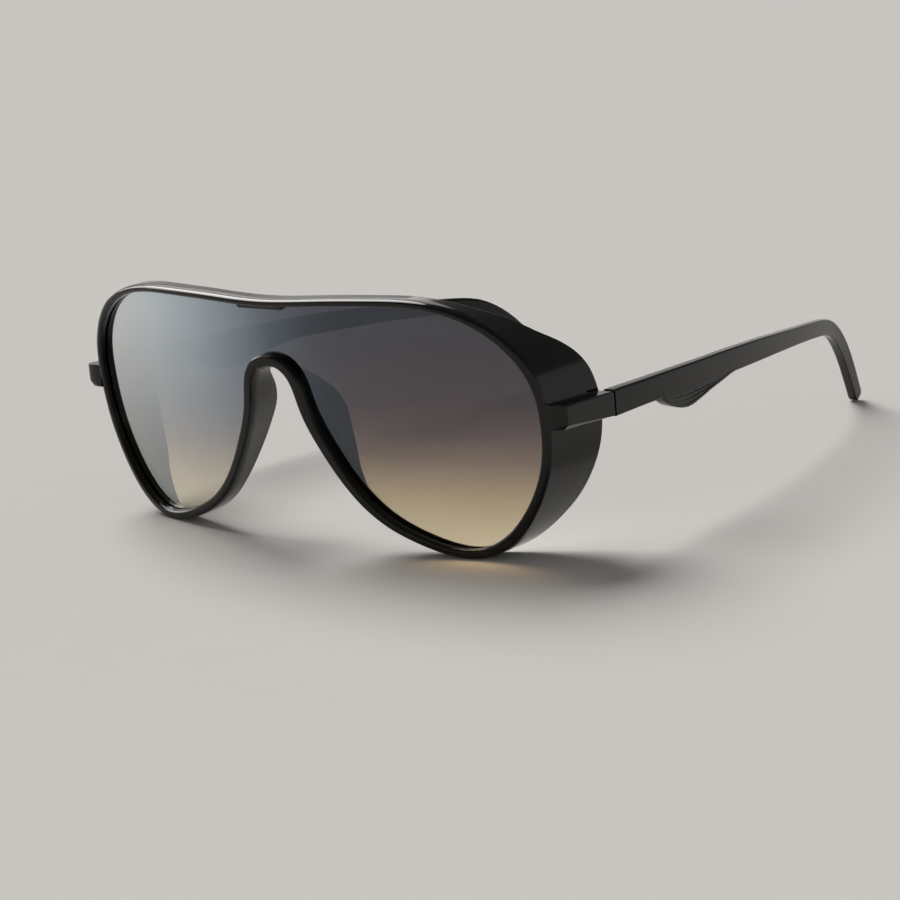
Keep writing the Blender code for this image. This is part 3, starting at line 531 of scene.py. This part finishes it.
def dipped_lens():
    """Dip-dyed smoke that runs out to amber, under a thin mirror that comes up at a slant."""
    material = bpy.data.materials.new("dipped_smoke_lens")
    material.use_nodes = True
    nodes = material.node_tree.nodes
    links = material.node_tree.links
    dyed = nodes["Principled BSDF"]
    dyed.inputs["Transmission Weight"].default_value = 1
    dyed.inputs["IOR"].default_value = 1.58
    dyed.inputs["Roughness"].default_value = 0.0
    place = nodes.new("ShaderNodeTexCoord").outputs["Object"]
    apart = nodes.new("ShaderNodeSeparateXYZ")
    links.new(place, apart.inputs["Vector"])
    uneven = noise_of(nodes, links, place, 14, 2)
    waver = nodes.new("ShaderNodeMath")
    waver.operation = "MULTIPLY_ADD"
    waver.inputs[1].default_value = 0.0025
    links.new(uneven.outputs["Fac"], waver.inputs[0])
    links.new(apart.outputs["Z"], waver.inputs[2])
    height = nodes.new("ShaderNodeMapRange")
    height.inputs["From Min"].default_value = 0.0
    height.inputs["From Max"].default_value = 0.06
    links.new(waver.outputs["Value"], height.inputs["Value"])
    dye = ramp_of(nodes, links, height.outputs["Result"], (
        (0.02, (0.9, 0.81, 0.62, 1)), (0.12, (0.82, 0.7, 0.49, 1)), (0.22, (0.66, 0.54, 0.36, 1)),
        (0.31, (0.46, 0.36, 0.25, 1)), (0.4, (0.27, 0.2, 0.16, 1)), (0.5, (0.14, 0.098, 0.094, 1)),
        (0.62, (0.082, 0.057, 0.062, 1)), (0.8, (0.058, 0.045, 0.053, 1)),
        (1.0, (0.05, 0.044, 0.053, 1))))
    links.new(dye.outputs["Color"], dyed.inputs["Base Color"])
    slant = nodes.new("ShaderNodeLayerWeight")
    slant.inputs["Blend"].default_value = 0.5
    mirror = nodes.new("ShaderNodeBsdfPrincipled")
    mirror.inputs["Metallic"].default_value = 1
    mirror.inputs["Roughness"].default_value = 0.015
    flash_tint = ramp_of(nodes, links, slant.outputs["Facing"], (
        (0.25, (0.6, 0.78, 1, 1)), (0.4, (0.74, 0.88, 1, 1)), (0.6, (0.95, 0.98, 1, 1))))
    links.new(flash_tint.outputs["Color"], mirror.inputs["Base Color"])
    flash = ramp_of(nodes, links, slant.outputs["Facing"], grey_stops((
        (0.16, 0.02), (0.235, 0.03), (0.27, 0.06), (0.31, 0.15), (0.357, 0.36), (0.426, 0.64),
        (0.5, 0.82), (0.65, 0.92))))
    fading = ramp_of(nodes, links, height.outputs["Result"], grey_stops((
        (0.0, 0.22), (0.14, 0.3), (0.3, 0.4), (0.45, 0.54), (0.6, 0.7), (0.75, 0.86),
        (0.9, 1.0))))
    mirrored = nodes.new("ShaderNodeMath")
    mirrored.operation = "MULTIPLY"
    links.new(flash.outputs["Color"], mirrored.inputs[0])
    links.new(fading.outputs["Color"], mirrored.inputs[1])
    layered = nodes.new("ShaderNodeMixShader")
    links.new(mirrored.outputs["Value"], layered.inputs["Fac"])
    links.new(dyed.outputs["BSDF"], layered.inputs[1])
    links.new(mirror.outputs["BSDF"], layered.inputs[2])
    through = nodes.new("ShaderNodeBsdfTransparent")
    links.new(dye.outputs["Color"], through.inputs["Color"])
    ray = nodes.new("ShaderNodeLightPath")
    lit = nodes.new("ShaderNodeMixShader")
    links.new(ray.outputs["Is Shadow Ray"], lit.inputs["Fac"])
    links.new(layered.outputs["Shader"], lit.inputs[1])
    links.new(through.outputs["BSDF"], lit.inputs[2])
    links.new(lit.outputs["Shader"], nodes["Material Output"].inputs["Surface"])
    return material


sheet_half = SIGHT_HALF + GROOVE_DEPTH
sheet_top = SIGHT_BOTTOM + SIGHT_HEIGHT + OVERRUN
sheet_edges = ((-OVERRUN, 0), (-OVERRUN, LENS_THICKNESS),
               (sheet_top, LENS_THICKNESS), (sheet_top, 0))
sheet = bmesh.new()
loft(sheet, [[(x, lens_front(x, z) + depth, z) for z, depth in sheet_edges]
             for x in np.linspace(-sheet_half, sheet_half, LENS_COLUMNS)])
lens = make_piece("wrapped_lens", sheet, dipped_lens())
outline = [(x + away[0] * LENS_SEAT, z + away[1] * LENS_SEAT)
           for x, z, away, share in half_stations]
outline += [(-x, z) for x, z in reversed(outline[1:-1])]
blank = bmesh.new()
loft(blank, [[(x, y + BUILD_SHIFT, z) for x, z in outline] for y in BLANK_REACH])
cut_and_join(lens, [("INTERSECT", make_piece("outline_tool", blank))])
polish_edges(lens, CRISP_TURN)
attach(lens, "front")
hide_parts("shield_lens")


# Each temple is an arm of the same black nylon, bowed in along the head and dropped behind the ear.
# Its outer face is flat with soft edges. A swell hangs under it behind the hinge, with three fine
# grooves that fan out over it where a finger opens the arm.
TEMPLE_FRONT = BLOCK_REAR + SEAM_GAP
TEMPLE_REACH = 0.1381
TEMPLE_HEIGHT = 0.0056
TIP_HEIGHT = 0.0005
TIP_ROUND = 0.0021
BOW_RADIUS = 0.43
ARM_OUTER_ROUND = 0.0006
ARM_INNER_ROUND = 0.001
LINE_POINTS = 2000
ARM_SECTIONS = 110
SWELL_SECTIONS = 60
SWELL_CROWDING = 1.5
TIP_SECTIONS = 15
LEAST_STEP = 0.0002
TEMPLE_LINE = (
    (0.0, 0.0), (0.246, 0.027), (0.471, 0.0747), (0.652, 0.136), (0.762, 0.186),
    (0.823, 0.24), (0.879, 0.377), (0.923, 0.558), (0.959, 0.756), (1.0, 1.0),
)
TEMPLE_HEIGHTS = (
    (0.0, 1.05), (0.09, 1.0), (0.3, 1.0), (0.37, 0.965), (0.45, 0.91), (0.53, 0.82),
    (0.62, 0.75), (0.72, 0.72), (0.85, 0.72), (1.0, 0.65),
)
TEMPLE_THICKNESSES = ((0.0, 1.0), (0.3, 0.88), (0.7, 0.82), (1.0, 0.82))
SWELL_START = 0.0178
SWELL_LENGTH = 0.0346
SWELL_DROP = 0.00405
SWELL_DROPS = (
    (0.0, 0.0), (0.035, 0.222), (0.064, 0.383), (0.1, 0.55), (0.15, 0.704), (0.208, 0.852),
    (0.266, 0.951), (0.324, 1.0), (0.382, 0.963), (0.44, 0.864), (0.5, 0.75), (0.584, 0.58),
    (0.67, 0.432), (0.757, 0.309), (0.844, 0.173), (0.916, 0.062), (1.0, 0.0),
)
GROOVES = (0.25, 0.5, 0.75)
GROOVE_WIDTH = 0.00048
GROOVE_SHARE = 0.09
GROOVE_SHUT = 0.00001
GROOVE_STEEPNESS = 0.8
GROOVE_MARGIN = 1.1
GROOVE_SPACING = 0.00006
TEMPLE_LEAF_LENGTH = 0.0094
ARM_SCREW_MARGIN = 0.0024


def temple_ring(across, height, below):
    """Section of an arm: distance inwards from its outer face, and height above its middle."""
    top = height / 2
    bottom = -height / 2 - below
    outer = min(ARM_OUTER_ROUND, across / 3, height / 3)
    inner = min(ARM_INNER_ROUND, across / 3, height / 3)
    corners = [(0, top, outer, 5, 2)]
    spread = min(GROOVE_WIDTH / 2, below * GROOVE_SHARE) + GROOVE_SHUT
    for number, share in enumerate(GROOVES):
        room = (len(GROOVES) - number) * GROOVE_SPACING
        z = max(-height / 2 - below * share, bottom + outer * GROOVE_MARGIN + room)
        corners += [(0, z + spread, spread / 3, 1, 0),
                    (spread * GROOVE_STEEPNESS, z, spread / 3, 2, 0),
                    (0, z - spread, spread / 3, 1, 0)]
    corners += [(0, bottom, outer, 5, 1), (across, bottom, inner, 5, 2),
                (across, top, inner, 5, 1)]
    return rounded_ring(corners)


def temple_distances(length):
    """Where the sections stand along an arm: even steps, closer over the swell and the tip."""
    end = length - TIP_ROUND
    spots = set(np.linspace(0, end, ARM_SECTIONS))
    shares = np.linspace(0, 1, SWELL_SECTIONS) ** SWELL_CROWDING
    spots |= {SWELL_START + SWELL_LENGTH * share for share in shares}
    kept = []
    for spot in sorted(spots):
        if not kept or spot - kept[-1] > LEAST_STEP:
            kept.append(spot)
    return kept + [end + TIP_ROUND * math.sin(math.pi / 2 * k / TIP_SECTIONS)
                   for k in range(1, TIP_SECTIONS)]


def temple_arm(label, side):
    """An arm lofted along its line, with the leaf's seat and the screw holes cut into it."""
    drop = HINGE_HEIGHT - TIP_HEIGHT
    corners = [(TEMPLE_FRONT + y * TEMPLE_REACH, HINGE_HEIGHT - z * drop) for y, z in TEMPLE_LINE]
    last = np.subtract(corners[-1], corners[-2])
    line = french_curve(corners, (1, 0), last / np.linalg.norm(last), LINE_POINTS)
    along = np.concatenate(([0], np.cumsum(np.linalg.norm(np.diff(line, axis=0), axis=1))))
    headings = np.gradient(line, along, axis=0)
    length = along[-1]
    rings = []
    for distance in temple_distances(length):
        y = np.interp(distance, along, line[:, 0])
        z = np.interp(distance, along, line[:, 1])
        ahead = np.interp(distance, along, headings[:, 0])
        rise = np.interp(distance, along, headings[:, 1])
        share = distance / length
        into_tip = max(distance - length + TIP_ROUND, 0) / TIP_ROUND
        shrink = math.sqrt(1 - into_tip ** 2)
        height = TEMPLE_HEIGHT * from_table(TEMPLE_HEIGHTS, share) * shrink
        thickness = TEMPLE_THICKNESS * from_table(TEMPLE_THICKNESSES, share)
        across = thickness * math.sqrt(1 - into_tip ** 6)
        into_swell = min(max((distance - SWELL_START) / SWELL_LENGTH, 0), 1)
        below = SWELL_DROP * from_table(SWELL_DROPS, into_swell)
        face = HALF_WIDTH - (y - TEMPLE_FRONT) ** 2 / (2 * BOW_RADIUS) - (thickness - across) / 2
        rings.append([(side * (face - point.x), y - point.y * rise + BUILD_SHIFT,
                       max(z + point.y * ahead, 0))
                      for point in temple_ring(across, height, below)])
    mesh_data = bmesh.new()
    loft(mesh_data, rings)
    arm = make_piece("arm_" + label, mesh_data, black_nylon)
    seat = bmesh.new()
    half = LEAF_HEIGHT / 2 + CLEARANCE
    add_box(seat, (side * (TEMPLE_INNER - OVERRUN), TEMPLE_FRONT - OVERRUN, HINGE_HEIGHT - half),
            (side * (TEMPLE_INNER + LEAF_THICKNESS + CLEARANCE),
             TEMPLE_FRONT + TEMPLE_LEAF_LENGTH + CLEARANCE, HINGE_HEIGHT + half))
    drills = bmesh.new()
    for y in (TEMPLE_FRONT + ARM_SCREW_MARGIN,
              TEMPLE_FRONT + TEMPLE_LEAF_LENGTH - LEAF_SCREW_MARGIN):
        add_drill(drills, (side * (TEMPLE_INNER - OVERRUN), y, HINGE_HEIGHT),
                  (side * (TEMPLE_INNER + LEAF_HOLE_DEPTH), y, HINGE_HEIGHT), LEAF_HOLE_RADIUS)
    work = []
    for form in (seat, drills):
        bmesh.ops.translate(form, verts=form.verts, vec=(0, BUILD_SHIFT, 0))
        work.append(("DIFFERENCE", make_piece("arm_tool", form)))
    cut_and_join(arm, work)
    polish_edges(arm, CRISP_TURN)
    return arm


for label, side in SIDES.items():
    arm = temple_arm(label, side)
    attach(arm, "temple_" + label)
    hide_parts("temple_" + label)


# The hinges are stamped and rolled nickel-plated steel. A leaf with two eyes is screwed into the
# lug of the front and a leaf with one eye into the temple, both from the inner side.
# Each pin is a slotted screw that goes down through the three eyes.
PLATE_CORNER = 0.0005
PLATE_EDGE = 0.00007
PLATE_TURN = 40
EYE_ROOT = 0.0013
TURNED_STEPS = 48
PIN_RADIUS = 0.00055
PIN_HEAD_RADIUS = 0.00095
PIN_HEAD_HEIGHT = 0.0004
LEAF_SCREW_RADIUS = 0.0005
LEAF_HEAD_RADIUS = 0.0009
LEAF_HEAD_HEIGHT = 0.0004
LEAF_SCREW_LENGTH = 0.0022
SHANK_CHAMFER = 0.0001
HEAD_CORNER = 0.00004
HEAD_ROUND = 0.00006
HEAD_DOME = 0.35
DOME_STOPS = (0.75, 0.5, 0.25)
SCREW_TURN = 35
SLOT_WIDTH = 0.0003
SLOT_DEPTH = 0.0002


def hinge_plate():
    """Bright plated steel: the fine grain of the rolled strip under the plating."""
    material = bpy.data.materials.new("plated_hinge_steel")
    material.use_nodes = True
    nodes = material.node_tree.nodes
    links = material.node_tree.links
    shader = nodes["Principled BSDF"]
    shader.inputs["Metallic"].default_value = 1
    place = nodes.new("ShaderNodeTexCoord").outputs["Object"]
    stretch = drawn_out(nodes, links, place, 0.08)
    grain = noise_of(nodes, links, stretch.outputs["Vector"], 26000, 2)
    tone = ramp_of(nodes, links, grain.outputs["Fac"], (
        (0.3, (0.6, 0.59, 0.565, 1)), (0.7, (0.7, 0.69, 0.665, 1))))
    links.new(tone.outputs["Color"], shader.inputs["Base Color"])
    uneven_gloss(nodes, links, grain.outputs["Fac"], shader, 0.19, 0.29)
    return material


def soften(piece):
    """A fine rounding of all the crisp edges, as tumbling leaves them."""
    step = piece.modifiers.new("tumbled_edges", "BEVEL")
    step.width = PLATE_EDGE
    step.segments = 2
    step.limit_method = "ANGLE"
    step.angle_limit = math.radians(PLATE_TURN)
    step.use_clamp_overlap = True
    piece.data.shade_smooth()
    step = piece.modifiers.new("flat_faces", "WEIGHTED_NORMAL")
    step.weight = FACE_WEIGHT


def outward_ring(points):
    """The outside of a flat group of points, in order round it."""
    points = sorted(points)
    chains = []
    for run in (points, points[::-1]):
        chain = []
        for point in run:
            while len(chain) > 1:
                (ax, ay), (bx, by) = chain[-2], chain[-1]
                if (bx - ax) * (point[1] - by) - (by - ay) * (point[0] - bx) > 0:
                    break
                chain.pop()
            chain.append(point)
        chains += chain[:-1]
    return chains


def hinge_leaf(name, side, near, far, free_front, root, floors, holes):
    """A stamped leaf: a plate with round corners at its free end, rolled eyes, a bore and holes."""
    inner, outer = near[0], far[0]
    half = LEAF_HEIGHT / 2
    ends = (near[1], far[1]) if free_front else (far[1], near[1])
    plate = rounded_ring((
        (ends[0], -half, PLATE_CORNER, 6, 0), (ends[0], half, PLATE_CORNER, 6, 0),
        (ends[1], half, 0, 0, 0), (ends[1], -half, 0, 0, 0)))
    mesh_data = bmesh.new()
    loft(mesh_data, [[(side * x, point.x, HINGE_HEIGHT + point.y) for point in plate]
                     for x in (inner, outer)])
    bmesh.ops.translate(mesh_data, verts=mesh_data.verts, vec=(0, BUILD_SHIFT, 0))
    leaf = make_piece(name, mesh_data, plated_steel)
    circle = []
    for k in range(TURNED_STEPS):
        turn = 2 * math.pi * k / TURNED_STEPS
        circle.append((BARREL_RADIUS * math.cos(turn), BARREL_RADIUS * math.sin(turn)))
    eye = outward_ring(circle + [(x, y) for x in root[0] for y in root[1]])
    eyes = bmesh.new()
    for floor in floors:
        loft(eyes, [[(side * (HINGE_X + x), HINGE_Y + y, HINGE_HEIGHT + z) for x, y in eye]
                    for z in (floor, floor + EYE_HEIGHT)])
    bore = bmesh.new()
    add_drill(bore, (side * HINGE_X, HINGE_Y, HINGE_HEIGHT - half - OVERRUN),
              (side * HINGE_X, HINGE_Y, HINGE_HEIGHT + half + OVERRUN), PIN_RADIUS + HINGE_GAP)
    for y in holes:
        add_drill(bore, (side * (inner - OVERRUN), y, HINGE_HEIGHT),
                  (side * (outer + OVERRUN), y, HINGE_HEIGHT), LEAF_HOLE_RADIUS)
    work = []
    for operation, form in (("UNION", eyes), ("DIFFERENCE", bore)):
        bmesh.ops.translate(form, verts=form.verts, vec=(0, BUILD_SHIFT, 0))
        work.append((operation, make_piece("leaf_tool", form)))
    cut_and_join(leaf, work)
    soften(leaf)
    return leaf


def slotted_screw(name, tip, towards_head, length, radius, head_radius, head_height):
    """A turned screw with a low domed head and a sawn slot, from its tip up."""
    top = length + head_height
    dome = head_height * HEAD_DOME
    profile = [(0, 0), (radius - SHANK_CHAMFER, 0), (radius, SHANK_CHAMFER), (radius, length),
               (head_radius - HEAD_CORNER, length), (head_radius, length + HEAD_CORNER),
               (head_radius, top - dome - HEAD_ROUND), (head_radius - HEAD_ROUND, top - dome)]
    profile += [(head_radius * share, top - dome * share ** 2) for share in DOME_STOPS]
    rings = []
    for k in range(TURNED_STEPS):
        turn = 2 * math.pi * k / TURNED_STEPS
        rings.append([(r * math.cos(turn), r * math.sin(turn), z) for r, z in profile + [(0, top)]])
    mesh_data = bmesh.new()
    loops = [[mesh_data.verts.new(point) for point in ring] for ring in rings]
    for one, other in zip(loops, loops[1:] + loops[:1]):
        for k in range(len(one) - 1):
            mesh_data.faces.new((one[k], one[k + 1], other[k + 1], other[k]))
    bmesh.ops.remove_doubles(mesh_data, verts=mesh_data.verts, dist=WELD)
    bmesh.ops.dissolve_degenerate(mesh_data, edges=mesh_data.edges, dist=WELD)
    slot = bmesh.new()
    add_box(slot, (-head_radius - OVERRUN, -SLOT_WIDTH / 2, top - SLOT_DEPTH),
            (head_radius + OVERRUN, SLOT_WIDTH / 2, top + OVERRUN))
    turn = Vector((0, 0, 1)).rotation_difference(Vector(towards_head)).to_matrix().to_4x4()
    stand = Matrix.Translation((tip[0], tip[1] + BUILD_SHIFT, tip[2])) @ turn
    for form in (mesh_data, slot):
        bmesh.ops.transform(form, matrix=stand, verts=form.verts)
    screw = make_piece(name, mesh_data, plated_steel)
    cut_and_join(screw, [("DIFFERENCE", make_piece("saw_tool", slot))])
    polish_edges(screw, SCREW_TURN)
    return screw


plated_steel = hinge_plate()
half = LEAF_HEIGHT / 2
for label, side in SIDES.items():
    lug_leaf_front = HINGE_Y - BARREL_RADIUS - FRONT_LEAF_LENGTH
    lug_leaf_rear = HINGE_Y - BARREL_RADIUS - HINGE_GAP
    arm_leaf_front = TEMPLE_FRONT + CLEARANCE
    lug_spots = (lug_leaf_front + LEAF_SCREW_MARGIN, HINGE_Y - BARREL_RADIUS - LEAF_SCREW_MARGIN)
    arm_spots = (TEMPLE_FRONT + ARM_SCREW_MARGIN,
                 TEMPLE_FRONT + TEMPLE_LEAF_LENGTH - LEAF_SCREW_MARGIN)
    lug_root = ((LUG_FACE - HINGE_X, LUG_FACE + LEAF_THICKNESS - HINGE_X),
                (lug_leaf_rear - HINGE_Y - HINGE_GAP, 0))
    arm_root = ((TEMPLE_INNER - HINGE_X, TEMPLE_INNER + LEAF_THICKNESS - HINGE_X - HINGE_GAP),
                (arm_leaf_front - HINGE_Y, arm_leaf_front - HINGE_Y + EYE_ROOT))
    pieces = [
        ("lug_leaf_" + label, "hinge_front_leaf_" + label, "front", hinge_leaf(
            "lug_leaf_" + label, side, (LUG_FACE, lug_leaf_front),
            (LUG_FACE + LEAF_THICKNESS, lug_leaf_rear), True, lug_root,
            (-half, half - EYE_HEIGHT), lug_spots)),
        ("arm_leaf_" + label, "hinge_temple_leaf_" + label, "temple_" + label, hinge_leaf(
            "arm_leaf_" + label, side, (TEMPLE_INNER, arm_leaf_front),
            (TEMPLE_INNER + LEAF_THICKNESS, TEMPLE_FRONT + TEMPLE_LEAF_LENGTH), False, arm_root,
            (-EYE_HEIGHT / 2,), arm_spots)),
        ("pin_" + label, "hinge_screw_" + label, "front", slotted_screw(
            "pin_" + label, (side * HINGE_X, HINGE_Y, HINGE_HEIGHT - half), (0, 0, 1),
            LEAF_HEIGHT + HINGE_GAP, PIN_RADIUS, PIN_HEAD_RADIUS, PIN_HEAD_HEIGHT))]
    for group, face, spots, body in (("front", LUG_FACE, lug_spots, "front"),
                                     ("temple", TEMPLE_INNER, arm_spots, "temple_" + label)):
        for number, y in enumerate(spots, 1):
            name = f"{group}_leaf_screw_{label}_{number}"
            tip = (side * (face + LEAF_SCREW_LENGTH - HINGE_GAP), y, HINGE_HEIGHT)
            pieces.append((name, name, body, slotted_screw(
                f"{group}_screw_{label}_{number}", tip, (-side, 0, 0), LEAF_SCREW_LENGTH,
                LEAF_SCREW_RADIUS, LEAF_HEAD_RADIUS, LEAF_HEAD_HEIGHT)))
    for name, node, body, piece in pieces:
        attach(piece, body)
        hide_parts(node)


# The table is a plain pale top, painted matt and wide enough to fill the view.
# It lies a hair below the feet, so that no face of it meets theirs.
TABLE_RADIUS = 6
TABLE_SIDES = 96
TABLE_DROP = 0.00005


def pale_table():
    """Matt pale paint with clouds that can barely be seen."""
    material = bpy.data.materials.new("pale_table")
    material.use_nodes = True
    nodes = material.node_tree.nodes
    links = material.node_tree.links
    shader = nodes["Principled BSDF"]
    shader.inputs["Roughness"].default_value = 0.9
    shader.inputs["Specular IOR Level"].default_value = 0
    place = nodes.new("ShaderNodeTexCoord").outputs["Object"]
    cloud = noise_of(nodes, links, place, 60, 2)
    tone = ramp_of(nodes, links, cloud.outputs["Fac"], (
        (0.0, (0.71, 0.697, 0.675, 1)), (1.0, (0.725, 0.712, 0.69, 1))))
    links.new(tone.outputs["Color"], shader.inputs["Base Color"])
    return material


mesh_data = bmesh.new()
bmesh.ops.create_circle(mesh_data, cap_ends=True, segments=TABLE_SIDES, radius=TABLE_RADIUS)
bmesh.ops.translate(mesh_data, verts=mesh_data.verts, vec=(0, 0, -TABLE_DROP))
table = make_piece("table_top", mesh_data, pale_table())


# Soft studio light: a wide key light high on the left and a little behind, and pale walls under a
# darker ceiling. A soft box and a large card over it, on the left, show only in polished faces,
# along the upper rim above all.
LIT_SPOT = Vector((0, 0, 0.04))
key_light = bpy.data.lights.new("key_light", "SUN")
key_light.energy = 2.6
key_light.angle = math.radians(38)
key_light.color = (1.0, 0.985, 0.96)
key = bpy.data.objects.new("key_light", key_light)
bpy.context.scene.collection.objects.link(key)
key.rotation_euler = Vector((-0.62, 0.22, 0.76)).to_track_quat("Z", "Y").to_euler()
for name, width, height, energy, stand in (
        ("side_soft_box", 1.4, 0.8, 16, (-1.8, -0.2, 0.76)),
        ("shine_card", 2.6, 1.2, 15, (-1.35, 0.35, 1.15))):
    box_light = bpy.data.lights.new(name, "AREA")
    box_light.shape = "RECTANGLE"
    box_light.size = width
    box_light.size_y = height
    box_light.energy = energy
    box_light.color = (1.0, 0.96, 0.94)
    soft_box = bpy.data.objects.new(name, box_light)
    bpy.context.scene.collection.objects.link(soft_box)
    soft_box.location = stand
    soft_box.rotation_euler = (Vector(stand) - LIT_SPOT).to_track_quat("Z", "Y").to_euler()
    soft_box.visible_camera = False
    soft_box.visible_transmission = False
    soft_box.visible_diffuse = False
world = bpy.data.worlds.new("room_light")
bpy.context.scene.world = world
world.use_nodes = True
nodes = world.node_tree.nodes
links = world.node_tree.links
facing = nodes.new("ShaderNodeTexCoord")
apart = nodes.new("ShaderNodeSeparateXYZ")
links.new(facing.outputs["Generated"], apart.inputs["Vector"])
room = ramp_of(nodes, links, apart.outputs["Z"], (
    (0.0, (0.62, 0.61, 0.595, 1)), (0.24, (0.56, 0.545, 0.53, 1)), (0.3, (0.2, 0.196, 0.192, 1)),
    (0.7, (0.15, 0.147, 0.144, 1)), (1.0, (0.13, 0.128, 0.126, 1))))
links.new(room.outputs["Color"], nodes["Background"].inputs["Color"])


# The camera stands where the photograph was taken from, with a long lens: to the wearer's left
# and a little above, so that it looks down on the table.
camera_data = bpy.data.cameras.new("camera")
camera_data.lens = 105.15
camera_data.sensor_width = 36
camera = bpy.data.objects.new("camera", camera_data)
bpy.context.scene.collection.objects.link(camera)
right = Vector((0.7764, 0.6245, -0.0847))
up = Vector((-0.0827, 0.2341, 0.9687))
back = Vector((0.6248, -0.7451, 0.2334))
camera.matrix_world = Matrix.Translation((0.3979, -0.4978, 0.157)) @ Matrix(
    (right, up, back)).transposed().to_4x4()
bpy.context.scene.camera = camera
bpy.context.scene.view_settings.view_transform = "Standard"
